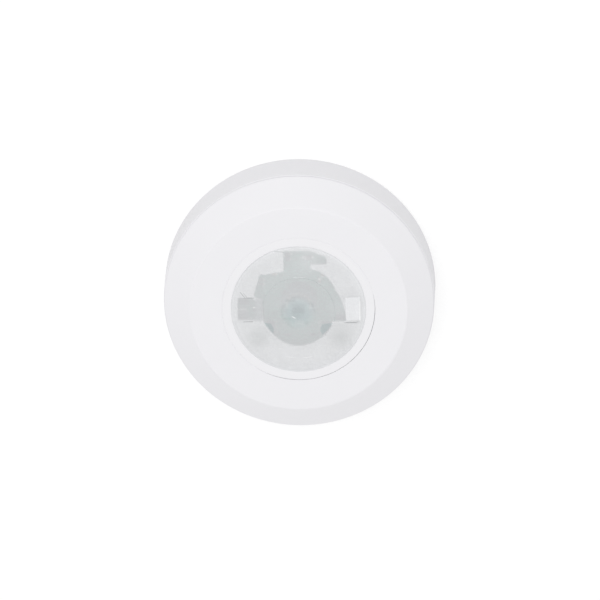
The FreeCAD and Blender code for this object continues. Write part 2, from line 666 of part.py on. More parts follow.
def build_front_cover():
    """Front cover: bevelled cap with a skirt, twist hooks, ribs and the tamper ramp."""
    body = new_body("front_cover")
    bevel_start = COVER_BOTTOM + S["cover_lip"]
    bevel_width = S["bevel_width"]
    bevel_rise = S["face_height"] - bevel_start
    bevel_length = (bevel_width * bevel_width + bevel_rise * bevel_rise).root()
    # The inner bevel is parallel to the outer one, one wall away from it
    bevel_drop = S["cover_thickness"] * bevel_length / bevel_width
    inner_corner = FACE_RADIUS - (bevel_drop - S["cover_thickness"]) * bevel_width / bevel_rise
    boss_outer = S["seam_radius"] + S["collar_wall"]
    cap = [
        (COVER_RADIUS, COVER_BOTTOM),
        (COVER_RADIUS, bevel_start),
        (FACE_RADIUS, S["face_height"]),
        (S["seam_radius"], S["face_height"]),
        (S["seam_radius"], LEDGE_TOP),
        (LEDGE_INNER, LEDGE_TOP),
        (LEDGE_INNER, LEDGE_BOTTOM),
        (boss_outer, LEDGE_BOTTOM),
        (boss_outer, FACE_UNDERSIDE),
        (inner_corner, FACE_UNDERSIDE),
        (SKIRT_INNER, bevel_height(SKIRT_INNER) - bevel_drop),
        (SKIRT_INNER, S["skirt_bottom"]),
        (SKIRT_OUTER, S["skirt_bottom"]),
        (SKIRT_OUTER, COVER_BOTTOM),
    ]
    shell = revolve(body, "cap", cap)
    soft = round_edges_at(
        body, shell, "face_edge", FACE_RADIUS, S["face_height"], S["face_rounding"]
    )
    seam = round_edges_at(
        body, soft, "seam_edge", S["seam_radius"], S["face_height"], S["seam_chamfer"], True
    )
    round_edges_at(
        body, seam, "rim_edge", COVER_RADIUS, COVER_BOTTOM, S["small_chamfer"], True
    )

    hook_outer = WALL_INNER - S["skirt_gap"]
    hook = ring_sector(
        body, "hook", SKIRT_OUTER - S["skirt_thickness"] / 4, hook_outer,
        HOOK_BOTTOM, HOOK_TOP, 0, S["hook_angle"],
    )
    repeat_round(body, "hooks", [hook], LOCK_COUNT)

    # Short ribs stiffen the face between the boss and the bevel
    rib = new_sketch(body, "face_rib_outline", "XZ_Plane", 0)
    draw_outline(
        rib,
        [
            (boss_outer - S["collar_wall"] / 2, FACE_UNDERSIDE - S["cover_rib_depth"]),
            (inner_corner - S["cover_rib_depth"], FACE_UNDERSIDE - S["cover_rib_depth"]),
            (inner_corner, FACE_UNDERSIDE + S["cover_thickness"] / 2),
            (boss_outer - S["collar_wall"] / 2, FACE_UNDERSIDE + S["cover_thickness"] / 2),
        ],
    )
    face_rib = pad(body, "face_rib", rib, S["cover_rib_width"], symmetric=True)
    repeat_round(body, "face_ribs", [face_rib], FACE_RIB_COUNT)

    # The ramp rises along the arc of the twist and lets the tamper plunger out
    ramp_end = TAMPER_RADIUS * S["twist_angle"].sine()
    ramp_low = PLUNGER_TOP + S["ramp_gap"]
    ramp_high = ramp_low + S["tamper_travel"]
    plunger_room = S["tamper_shaft"] * 1.5
    root = FACE_UNDERSIDE + S["cover_thickness"] / 4
    ramp = new_sketch(body, "ramp_outline", "YZ_Plane", -TAMPER_RADIUS)
    draw_outline(
        ramp,
        [
            (-plunger_room, ramp_low),
            (0, ramp_low),
            (ramp_end, ramp_high),
            (ramp_end + plunger_room, ramp_high),
            (ramp_end + plunger_room, root),
            (-plunger_room, root),
        ],
    )
    # The ramp is wide enough for the arc that the plunger draws on it
    arc_depth = TAMPER_RADIUS * (1 - S["twist_angle"].cosine())
    inward = pad(body, "ramp", ramp, arc_depth + S["tamper_shaft"])
    bind(inward, "Length2", S["tamper_shaft"])
    inward.SideType = "Two sides"


def build_lens_ring():
    """Lens ring: flush ring with a slotted skirt that snaps under the cover's ledge."""
    body = new_body("lens_ring")
    face = S["face_height"]
    ring_outer = S["seam_radius"] - S["seam_gap"]
    clip_bottom = face - S["clip_depth"]
    bead_top = GUARD_BOTTOM
    bead_inner = CLIP_INNER - S["clip_gap"]
    ring = [
        (LENS_OPENING, face),
        (ring_outer, face),
        (ring_outer, LEDGE_TOP),
        (CLIP_OUTER, LEDGE_TOP),
        (CLIP_OUTER, clip_bottom),
        (CLIP_INNER, clip_bottom),
        (CLIP_INNER, bead_top - S["clip_gap"]),
        (bead_inner, bead_top - S["fit_gap"] / 2),
        (CLIP_INNER, bead_top),
        (CLIP_INNER, FLANGE_TOP),
        (LENS_OPENING, FLANGE_TOP),
    ]
    turned = revolve(body, "ring", ring)
    outer_edge = round_edges_at(
        body, turned, "outer_edge", ring_outer, face, S["seam_chamfer"], True
    )
    round_edges_at(body, outer_edge, "lens_edge", LENS_OPENING, face, S["seam_chamfer"])

    hook_top = LEDGE_BOTTOM - S["fit_gap"]
    hook_outer = CLIP_OUTER + S["clip_reach"]
    half_turn_between = 360 / CLIP_COUNT / 2
    hook = ring_sector(
        body, "snap_hook", CLIP_OUTER - S["clip_wall"] / 2, hook_outer,
        clip_bottom, hook_top, half_turn_between, S["clip_angle"],
    )
    repeat_round(body, "snap_hooks", [hook], CLIP_COUNT)

    slot = new_sketch(body, "clip_slot_outline", "XY_Plane", LEDGE_TOP - S["clip_gap"])
    half_slot = S["clip_slot"] / 2
    slot_outer = CLIP_OUTER + S["clip_gap"]
    draw_outline(slot, box_points(bead_inner - S["clip_gap"], slot_outer, -half_slot, half_slot))
    cut = pocket(body, "clip_slot", slot, S["clip_depth"])
    repeat_round(body, "clip_slots", [cut], 2 * CLIP_COUNT)


def build_fresnel_lens():
    """Lens: shallow dome with a raised middle zone and ring grooves on its inner side."""
    body = new_body("fresnel_lens")
    edge = LENS_OPENING - S["lens_edge_gap"]
    shoulder = S["face_height"]
    rise = S["lens_rise"]
    dome_radius = (edge * edge + rise * rise) / (2 * rise)
    dome_centre = shoulder + rise - dome_radius
    zone = S["lens_zone_radius"]
    step = S["lens_zone_step"]
    flange_outer = CLIP_INNER - S["lens_edge_gap"]

    def dome_height(radius):
        return dome_centre + (dome_radius * dome_radius - radius * radius).root()

    def underside(radius):
        return dome_height(radius) - S["lens_thickness"]

    outside = [
        (0, dome_height(measured(0))),
        (zone, dome_height(zone)),
        (zone, dome_height(zone) - step),
        (edge, shoulder),
        (edge, FLANGE_TOP),
        (flange_outer, FLANGE_TOP),
        (flange_outer, FLANGE_BOTTOM),
    ]
    inner_edge = edge - S["lens_thickness"]
    inside = [(inner_edge, FLANGE_BOTTOM), (inner_edge, underside(inner_edge) - step)]
    # Saw-tooth grooves in the middle zone, each as wide as the others
    groove_width = zone / S["groove_count"]
    for groove in range(int(S["groove_count"].value), 0, -1):
        outer_radius = groove_width * groove
        inner_radius = groove_width * (groove - 1)
        inside.append((outer_radius, underside(outer_radius) - step))
        inside.append((inner_radius, underside(outer_radius) - step + S["groove_depth"]))
    # The two outer faces are arcs: the middle zone and, one step lower, the outer zone
    revolve(body, "dome", outside + inside, arcs={0: dome_centre})


def build_light_guard():
    """White guard behind the lens: a plate with a stepped round mouth and a short skirt."""
    body = new_body("light_guard")
    outer = CLIP_INNER - S["lens_edge_gap"]
    narrow = S["lens_zone_radius"] + S["guard_mouth_margin"]
    mouth = narrow + S["wide_mouth_margin"]
    plate_top = GUARD_BOTTOM + S["guard_thickness"]
    skirt = mouth + S["guard_skirt_margin"]
    skirt_end = GUARD_BOTTOM - S["guard_skirt_depth"]
    rim = S["lens_thickness"] + S["lens_flange"]
    profile = [
        (narrow, plate_top),
        (outer - rim, plate_top),
        (outer - rim, FLANGE_BOTTOM),
        (outer, FLANGE_BOTTOM),
        (outer, GUARD_BOTTOM),
        (skirt + S["guard_wall"], GUARD_BOTTOM),
        (skirt + S["guard_wall"], skirt_end),
        (skirt, skirt_end),
        (skirt, GUARD_BOTTOM),
        (narrow, GUARD_BOTTOM),
    ]
    revolve(body, "guard", profile)

    # The mouth is wider on its +Y side, with a step at each end
    step = -S["wide_mouth_start"]
    step_end = (mouth * mouth - step * step).root()
    wide = new_sketch(body, "wide_mouth_outline", "XY_Plane", plate_top)
    draw_outline(wide, [(-step_end, step), (step_end, step), (0, mouth)], {1: 0, 2: 0})
    pocket(body, "wide_mouth", wide, S["guard_thickness"])

    # The notch opens into the mouth and has a slot to one side
    reach = LENS_OPENING - S["notch_inset"]
    half_notch = S["notch_width"] / 2
    slot_end = half_notch + S["notch_slot_reach"]
    slot_low = mouth + S["guard_wall"] / 4
    slot_high = slot_low + S["notch_slot_width"]
    notch = new_sketch(body, "notch_outline", "XY_Plane", plate_top)
    draw_outline(
        notch,
        [
            (-half_notch, mouth - S["bridge_width"]),
            (half_notch, mouth - S["bridge_width"]),
            (half_notch, slot_low),
            (slot_end, slot_low),
            (slot_end, slot_high),
            (half_notch, slot_high),
            (half_notch, reach),
            (-half_notch, reach),
        ],
    )
    pocket(body, "notch", notch, S["notch_depth"])

    # A bridge closes the inner side of the window
    window_high = S["window_width"] / 2 - S["window_offset"]
    window_low = window_high - S["window_width"]
    bridge_outer = mouth - S["guard_wall"] * 0.75
    bridge_inner = bridge_outer - S["bridge_width"]
    window = new_sketch(body, "window_outline", "XY_Plane", plate_top)
    draw_outline(window, box_points(-reach, -bridge_outer, window_low, window_high))
    pocket(body, "window", window, S["notch_depth"])
    bridge = new_sketch(body, "bridge_outline", "XY_Plane", GUARD_BOTTOM)
    bridge_low = window_low - S["bridge_width"]
    bridge_high = window_high + S["bridge_end"]
    draw_outline(bridge, box_points(-bridge_outer, -bridge_inner, bridge_low, bridge_high))
    pad(body, "bridge", bridge, S["guard_thickness"])

    # The raised pad ends at a slit
    pad_high = S["guard_pad_width"] / 2 - S["guard_pad_offset"]
    pad_low = pad_high - S["guard_pad_width"]
    raised = new_sketch(body, "raised_pad_outline", "XY_Plane", plate_top)
    draw_outline(raised, box_points(mouth, reach, pad_low, pad_high))
    pad(body, "raised_pad", raised, S["guard_pad_height"])
    slit = new_sketch(body, "slit_outline", "XY_Plane", plate_top)
    slit_start = mouth + S["guard_wall"] / 2
    draw_outline(slit, box_points(slit_start, reach, pad_low - S["guard_slit"], pad_low))
    pocket(body, "slit", slit, S["guard_thickness"])


def contact_pin_place(side):
    """Where the solder pin of a battery contact goes through the board."""
    end = CELL_HALF_LENGTH + S["contact_space"]
    return (BOARD_EDGE - S["pin_inset"], side * (end - S["contact_thickness"] / 2))


def sensor_lead_places():
    return [polar(S["sensor_lead_circle"], angle) for angle in (45, 135, 225)]


def build_circuit_board():
    """Circuit board: round at one end, straight beside the battery, with drilled holes."""
    body = new_body("circuit_board")
    half = BOARD_SIDE
    corner = (BOARD_RADIUS * BOARD_RADIUS - half * half).root()
    edge = BOARD_EDGE
    shape = new_sketch(body, "board_outline", "XY_Plane", S["board_bottom"])
    draw_outline(shape, [(edge, -half), (edge, half), (-corner, half), (-corner, -half)], {2: 0})
    pad(body, "board", shape, S["board_thickness"])
    holes = new_sketch(body, "board_holes_outline", "XY_Plane", BOARD_TOP)
    for centre in board_screw_places():
        draw_circle(holes, centre, S["board_screw_shank"] + 2 * S["fit_gap"])
    for centre in sensor_lead_places():
        draw_circle(holes, centre, S["sensor_lead_radius"] + S["fit_gap"])
    for side in (-1, 1):
        draw_circle(holes, contact_pin_place(side), S["contact_thickness"] + S["fit_gap"])
    pocket(body, "board_holes", holes, S["board_thickness"])


def build_board_screws():
    """Four pan-head screws that hold the board on its posts."""
    screws = []
    for number, (x, y) in enumerate(board_screw_places()):
        head = post(
            f"screw_head_{number}", (x, y, BOARD_TOP),
            S["board_screw_head"], S["board_screw_head_height"],
        )
        shank_length = S["board_screw_length"] + S["board_thickness"]
        shank = post(
            f"screw_shank_{number}", (x, y, BOARD_TOP - shank_length),
            S["board_screw_shank"], shank_length,
        )
        whole = joined(f"screw_blank_{number}", [head, shank])
        cross_length = S["board_screw_head"] * 1.2
        cross_width = S["board_screw_head"] / 4
        cross_depth = S["board_screw_head_height"] / 2
        cross_base = BOARD_TOP + cross_depth
        arms = [
            centred_block(
                f"cross_{name}_{number}", (x, y), (length, width, cross_depth), cross_base
            )
            for name, length, width in (
                ("along", cross_length, cross_width),
                ("across", cross_width, cross_length),
            )
        ]
        screws.append(cut_from(f"screw_{number}", whole, arms))
    return as_node(group("board_screws", screws))


def build_heat_sensor():
    """Heat sensor: spacer, header with three leads, can and filter window."""
    lead_hole = S["sensor_lead_radius"] + S["fit_gap"]
    disc_radius = S["sensor_flange_radius"] + S["spacer_margin"]
    disc = post("spacer_disc", (0, 0, BOARD_TOP), disc_radius, S["sensor_standoff"])
    holes = [
        post(f"spacer_hole_{number}", (x, y, BOARD_TOP), lead_hole, S["sensor_standoff"])
        for number, (x, y) in enumerate(sensor_lead_places())
    ]
    as_node(cut_from("sensor_spacer", disc, holes))

    flange = post(
        "sensor_flange", (0, 0, SENSOR_BASE), S["sensor_flange_radius"], S["sensor_flange_height"]
    )
    lead_end = S["board_bottom"] - S["lead_reach"]
    leads = [
        post(
            f"sensor_lead_{number}", (x, y, lead_end), S["sensor_lead_radius"],
            SENSOR_BASE - lead_end,
        )
        for number, (x, y) in enumerate(sensor_lead_places())
    ]
    as_node(joined("sensor_header", [flange] + leads))

    wall = S["sensor_can_wall"]
    can_base = SENSOR_BASE + S["sensor_flange_height"]
    outside = post(
        "can_outside", (0, 0, can_base), S["sensor_can_radius"], S["sensor_can_height"]
    )
    inside_height = S["sensor_can_height"] - wall
    inside = post("can_inside", (0, 0, can_base), S["sensor_can_radius"] - wall, inside_height)
    middle = (measured(0), measured(0))
    window_size = (S["window_length"], S["window_breadth"])
    hole = centred_block(
        "can_hole", middle, window_size + (2 * wall,), can_base + inside_height - wall / 2
    )
    as_node(cut_from("sensor_can", outside, [inside, hole]))

    # The pane is glued under the top of the can and a little wider than the hole
    margin = 4 * S["fit_gap"]
    pane = tuple(side + margin for side in window_size) + (2 * wall,)
    as_node(centred_block("sensor_window", middle, pane, can_base + inside_height - 2 * wall))


def build_tamper_switch():
    """Tamper switch: a square housing whose plunger the cover holds down."""
    side = S["switch_side"]
    centre = (-TAMPER_RADIUS, measured(0))
    collar = S["tamper_collar"]
    collar_height = S["tamper_collar_height"]
    rest_height = S["tamper_rest"]
    clear = S["fit_gap"]
    housing = centred_block("switch_block", centre, (side, side, S["tamper_height"]), BOARD_TOP)
    room_base = BOARD_TOP + rest_height - clear
    room = post(
        "switch_room", (*centre, room_base), collar + 2 * clear,
        S["tamper_travel"] + collar_height + 2 * clear,
    )
    throat = post(
        "switch_throat", (*centre, room_base), S["tamper_shaft"] + clear, S["tamper_height"]
    )
    as_node(cut_from("tamper_switch", housing, [room, throat]))

    shaft_base = BOARD_TOP + rest_height
    tip = S["tamper_shaft"]
    shaft = post("plunger_shaft", (*centre, shaft_base), tip, PLUNGER_TOP - tip / 2 - shaft_base)
    flange = post("plunger_flange", (*centre, shaft_base), collar, collar_height)
    # The tip is a low dome: the top of a ball cut by the shaft's width
    ball_radius = S["tamper_ball"]
    ball = document.addObject("Part::Sphere", "plunger_ball")
    bind(ball, "Radius", ball_radius)
    place(ball, (*centre, PLUNGER_TOP - ball_radius))
    dome_space = post("plunger_dome_space", (*centre, PLUNGER_TOP - tip / 2), tip, tip)
    dome = document.addObject("Part::Common", "plunger_dome")
    dome.Base = ball
    dome.Tool = dome_space
    as_node(joined("tamper_plunger", [shaft, flange, dome]))


def build_pairing_switch():
    """Pairing switch: a low square housing with a round button."""
    side = S["switch_side"]
    centre = (S["pairing_x"], S["pairing_inset"] - BOARD_SIDE)
    height = S["pairing_height"]
    clear = S["fit_gap"]
    housing = centred_block("pairing_block", centre, (side, side, height), BOARD_TOP)
    well_base = BOARD_TOP + height / 2
    well = post("pairing_well", (*centre, well_base), S["button_radius"] + clear, height)
    as_node(cut_from("pairing_switch", housing, [well]))
    button_base = well_base + S["button_travel"] + clear
    button = post("pairing_button", (*centre, button_base), S["button_radius"], S["button_height"])
    as_node(button)


def build_mode_switch():
    """Mode switch: a small housing with two sliders."""
    centre = (S["mode_x"], BOARD_SIDE - S["mode_inset"])
    width = S["mode_width"]
    depth = S["mode_depth"]
    height = S["mode_height"]
    clear = S["fit_gap"]
    housing = centred_block("mode_block", centre, (width, depth, height), BOARD_TOP)
    slider_size = (S["slider_width"], S["slider_width"], S["slider_height"])
    seat = BOARD_TOP + S["slider_seat"]
    slots = []
    for number, offset in enumerate((-1, 1), start=1):
        middle = centre[0] + offset * width / 4
        start_y = centre[1] - (S["slider_travel"] + slider_size[1]) / 2
        slots.append(
            block(
                f"mode_slot_{number}", (middle - slider_size[0] / 2 - clear, start_y - clear, seat),
                (slider_size[0] + 2 * clear, slider_size[1] + S["slider_travel"] + 2 * clear, height),
            )
        )
        slider_corner = (middle - slider_size[0] / 2, start_y, seat + clear / 2)
        as_node(block(f"mode_slider_{number}", slider_corner, slider_size))
    as_node(cut_from("mode_switch", housing, slots))


def build_battery():
    """Battery cell, its holder on the back plate and the two contacts."""
    middle_x = CELL_X
    radius = S["battery_radius"]
    wall = S["holder_wall"]
    floor = S["floor_thickness"]
    clear = S["fit_gap"]
    cell_axis = CELL_AXIS_HEIGHT
    nub = S["battery_nub"]
    cell_start = -CELL_HALF_LENGTH
    cell = lying_post("cell_can", (middle_x, cell_start, cell_axis), radius, S["battery_length"])
    tip = lying_post(
        "cell_nub", (middle_x, cell_start + S["battery_length"], cell_axis),
        S["battery_nub_radius"], nub,
    )
    as_node(joined("battery_cell", [cell, tip]))

    # The holder hugs the lower part of the cell and has a wall at each end
    side = HOLDER_HALF_WIDTH
    end_inner = CELL_HALF_LENGTH + S["contact_space"]
    trough = block(
        "holder_trough", (middle_x - side, -S["holder_half_length"], floor),
        (2 * side, 2 * S["holder_half_length"], S["holder_height"]),
    )
    spine = block(
        "holder_spine", (middle_x - S["holder_end_half_width"], -end_inner, floor),
        (2 * S["holder_end_half_width"], 2 * end_inner, wall),
    )
    ends = [
        block(
            f"holder_end_{name}", (middle_x - S["holder_end_half_width"], start, floor),
            (2 * S["holder_end_half_width"], wall, S["holder_end_height"]),
        )
        for name, start in (("low", -end_inner - wall), ("high", end_inner))
    ]
    shape = joined("holder_shape", [trough, spine] + ends)
    room = lying_post(
        "cell_room", (middle_x, -end_inner, cell_axis), radius + clear, 2 * end_inner
    )
    as_node(cut_from("battery_holder", shape, [room]))

    # Each contact is a plate against its end wall with a tail and a pin to the board
    thin = S["contact_thickness"]
    plate_half = S["holder_end_half_width"] - wall / 2
    plate_bottom = floor + wall + clear
    plate_height = S["holder_end_height"] - 2 * wall
    tail_height = 2 * wall
    pin_x = contact_pin_place(1)[0]
    tail_base = BOARD_TOP + clear
    for name, side_sign in (("spring_contact", -1), ("plate_contact", 1)):
        near = end_inner - thin if side_sign > 0 else -end_inner
        plate = block(
            name + "_plate", (middle_x - plate_half, near, plate_bottom),
            (2 * plate_half, thin, plate_height),
        )
        tail = block(
            name + "_tail", (pin_x - thin, near, tail_base),
            (middle_x - plate_half - pin_x + 2 * thin, thin, tail_height),
        )
        pin = block(
            name + "_pin", (pin_x - thin / 2, near, S["board_bottom"] - S["lead_reach"]),
            (thin, thin, tail_base - S["board_bottom"] + S["lead_reach"] + thin),
        )
        pieces = [plate, tail, pin]
        if side_sign < 0:
            pieces.append(spring_leaf(name, middle_x, near + thin, cell_axis, cell_start))
        as_node(joined("battery_" + name, pieces))


def spring_leaf(name, middle_x, root_y, cell_axis, cell_start):
    """A bent leaf that bears on the flat end of the cell."""
    reach = S["battery_nub_radius"]
    thin = S["contact_thickness"]
    gap = cell_start - S["fit_gap"] / 2 - root_y
    leaf = document.addObject("Part::Wedge", name + "_leaf")
    bounds = {
        "Xmin": 0, "Xmax": 2 * reach, "Ymin": 0, "Ymax": gap, "Zmin": 0, "Zmax": 2 * reach,
        "X2min": reach / 2, "X2max": reach * 1.5, "Z2min": reach / 2, "Z2max": reach * 1.5,
    }
    for side, amount in bounds.items():
        bind(leaf, side, amount)
    place(leaf, (middle_x - reach, root_y - thin / 2, cell_axis - reach))
    return leaf


def build_status_light():
    """Status light: a small block with a round lens, in view through the light guard."""
    centre = (measured(0), -S["light_offset"])
    size = (S["light_width"], S["light_depth"], S["light_height"])
    foot = centred_block("light_foot", centre, size, BOARD_TOP)
    lens_base = BOARD_TOP + S["light_height"]
    lens = post("light_lens", (*centre, lens_base), S["light_depth"] * 0.4, S["light_height"] / 3)
    as_node(joined("status_light", [foot, lens]))


def build_radio():
    """Radio: a shield can with rounded upper edges and a ceramic antenna."""
    size = (S["shield_length"], S["shield_width"], S["shield_height"])
    can = centred_block("shield_blank", (S["shield_x"], S["shield_y"]), size, BOARD_TOP)
    document.recompute()
    middle = (BOARD_TOP + S["shield_height"] / 4).value
    rounding = S["shield_rounding"].value
    shield = document.addObject("Part::Fillet", "radio_shield")
    shield.Base = can
    shield.Edges = [
        (index, rounding, rounding)
        for index, edge in enumerate(can.Shape.Edges, start=1)
        if edge.CenterOfMass.z > middle
    ]
    as_node(shield)
    size = (S["antenna_width"], S["antenna_length"], S["antenna_height"])
    centre = (S["antenna_inset"] - BOARD_RADIUS, S["antenna_y"])
    as_node(centred_block("chip_antenna", centre, size, BOARD_TOP))


def build_chips():
    """Controller chip, and the amplifier chip with two rows of bent legs."""
    side = S["controller_side"]
    centre = (S["controller_x"], S["controller_y"])
    size = (side, side, S["controller_height"])
    as_node(centred_block("controller_chip", centre, size, BOARD_TOP))

    body = new_body("amplifier_chip")
    half_length = S["amplifier_length"] / 2
    half_width = S["amplifier_width"] / 2
    x, y = S["amplifier_x"], S["amplifier_y"]
    case = new_sketch(body, "case_outline", "XY_Plane", BOARD_TOP + S["leg_thickness"])
    draw_outline(
        case, box_points(x - half_length, x + half_length, y - half_width, y + half_width)
    )
    pad(body, "case", case, S["amplifier_height"])
    # One bent strip through the case makes a leg on each side
    thin = S["leg_thickness"]
    reach = S["leg_span"] / 2
    bend = (reach + half_width) / 2
    rise = S["amplifier_height"] / 2
    half_strip = [
        (reach, 0),
        (reach, thin),
        (bend, thin),
        (bend - thin, rise + thin),
    ]
    under_strip = [
        (bend - 2 * thin, rise),
        (bend - thin, 0),
    ]
    right = half_strip + [(-across, up) for across, up in reversed(half_strip)]
    left = [(-across, up) for across, up in reversed(under_strip)] + under_strip
    first_leg = x - S["leg_pitch"] * (S["leg_count"] - 1) / 2
    strip = new_sketch(body, "leg_outline", "YZ_Plane", first_leg)
    draw_outline(strip, [(y + across, BOARD_TOP + up) for across, up in right + left])
    leg = pad(body, "leg", strip, S["leg_width"], symmetric=True)
    legs = body.newObject("PartDesign::LinearPattern", "legs")
    legs.Originals = [leg]
    legs.Direction = (origin_part(body, "X_Axis"), [""])
    bind(legs, "Length", S["leg_pitch"] * (S["leg_count"] - 1))
    bind(legs, "Occurrences", S["leg_count"])
    body.Tip = legs


def build_clock_crystal():
    """Clock crystal: a flat can with round ends on a wider flange."""
    body = new_body("clock_crystal")
    centre = (S["crystal_x"], BOARD_SIDE - S["crystal_inset"])
    rim = S["crystal_flange"]
    flange = new_sketch(body, "flange_outline", "XY_Plane", BOARD_TOP)
    draw_upright_slot(flange, centre, S["crystal_length"], S["crystal_width"])
    pad(body, "flange", flange, rim)
    can = new_sketch(body, "crystal_can_outline", "XY_Plane", BOARD_TOP)
    draw_upright_slot(can, centre, S["crystal_length"] - 2 * rim, S["crystal_width"] - 2 * rim)
    pad(body, "crystal_can", can, S["crystal_height"])


def build_capacitors():
    """Two capacitors: round cans on square feet."""
    pieces = []
    side = 2 * S["capacitor_radius"] + S["fit_gap"]
    for number in range(2):
        centre_x = S["capacitor_near"] - number * S["capacitor_pitch"]
        centre = (centre_x, S["capacitor_inset"] - BOARD_SIDE)
        foot_size = (side, side, S["capacitor_foot"])
        foot = centred_block(f"capacitor_foot_{number}", centre, foot_size, BOARD_TOP)
        can = post(
            f"capacitor_can_{number}", (*centre, BOARD_TOP), S["capacitor_radius"],
            S["capacitor_height"],
        )
        pieces.append(joined(f"capacitor_{number}", [foot, can]))
    as_node(group("capacitors", pieces))


fill_order = [
    build_base_housing,
    build_front_cover,
    build_lens_ring,
    build_fresnel_lens,
    build_light_guard,
    build_circuit_board,
    build_board_screws,
    build_heat_sensor,
    build_tamper_switch,
    build_pairing_switch,
    build_mode_switch,
    build_battery,
    build_status_light,
    build_radio,
    build_chips,
    build_clock_crystal,
    build_capacitors,
]


def check_body(body):
    """Every feature of a body has to add or remove material."""
    volume = 0
    for feature in body.Group:
        if feature.TypeId == "Sketcher::SketchObject" or feature.Shape.isNull():
            continue
        change = feature.Shape.Volume - volume
        cuts = feature.TypeId == "PartDesign::Pocket"
        if abs(change) < 0.001 or cuts != (change < 0) and volume and not is_dressing(feature):
            raise RuntimeError(f"{body.Label}: {feature.Label} changed the volume by {change:.4f}")
        volume = feature.Shape.Volume


def is_dressing(feature):
    """Edges and patterns may add or remove."""
    return feature.TypeId in (
        "PartDesign::Fillet",
        "PartDesign::Chamfer",
        "PartDesign::PolarPattern",
    )


def check_model():
    """Stops on a failed feature, a bad shape or a feature that changed nothing."""
    for item in document.Objects:
        if "Invalid" in item.State or "Error" in item.State:
            raise RuntimeError(f"{item.Label} failed: {item.State}")
    for node in nodes:
        if node.Shape.isNull() or not node.Shape.isValid():
            raise RuntimeError(f"{node.Label} has no valid shape")
        if node.TypeId == "PartDesign::Body":
            check_body(node)


def main():
    for build in fill_order:
        build()
        print("built", build.__name__)
    document.recompute()
    check_model()
    os.makedirs("parts", exist_ok=True)
    for node in nodes:
        node.Shape.exportStep(f"parts/{node.Label}.step")


main()
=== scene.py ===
import math
import bmesh
import bpy
from mathutils import Matrix, Vector
from mathutils.geometry import tessellate_polygon


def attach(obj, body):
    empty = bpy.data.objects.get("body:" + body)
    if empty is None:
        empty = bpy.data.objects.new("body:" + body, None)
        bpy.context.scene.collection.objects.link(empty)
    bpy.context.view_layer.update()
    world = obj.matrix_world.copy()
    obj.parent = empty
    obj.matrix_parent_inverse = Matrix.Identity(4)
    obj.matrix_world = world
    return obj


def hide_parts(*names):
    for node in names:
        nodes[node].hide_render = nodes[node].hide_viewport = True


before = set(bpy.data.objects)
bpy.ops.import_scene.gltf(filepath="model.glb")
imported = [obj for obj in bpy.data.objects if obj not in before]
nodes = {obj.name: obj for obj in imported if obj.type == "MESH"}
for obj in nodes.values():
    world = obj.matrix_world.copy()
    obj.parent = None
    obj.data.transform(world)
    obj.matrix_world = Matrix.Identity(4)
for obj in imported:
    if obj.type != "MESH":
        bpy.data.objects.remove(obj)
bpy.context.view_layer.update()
mm = 0.001
print("frame loaded:", len(nodes), "pieces")


class Wire:
    # a socket that takes part in sums; each sum adds a Math node
    def __init__(self, graph, socket):
        self.graph = graph
        self.socket = socket

    def __add__(self, other):
        return self.graph.maths("ADD", self, other)

    def __sub__(self, other):
        return self.graph.maths("SUBTRACT", self, other)

    def __rsub__(self, other):
        return self.graph.maths("SUBTRACT", other, self)

    def __mul__(self, other):
        return self.graph.maths("MULTIPLY", self, other)

    def __truediv__(self, other):
        return self.graph.maths("DIVIDE", self, other)

    def __pow__(self, power):
        return self.graph.maths("POWER", self, power)

    def __abs__(self):
        return self.graph.maths("ABSOLUTE", self)

    __radd__ = __add__
    __rmul__ = __mul__


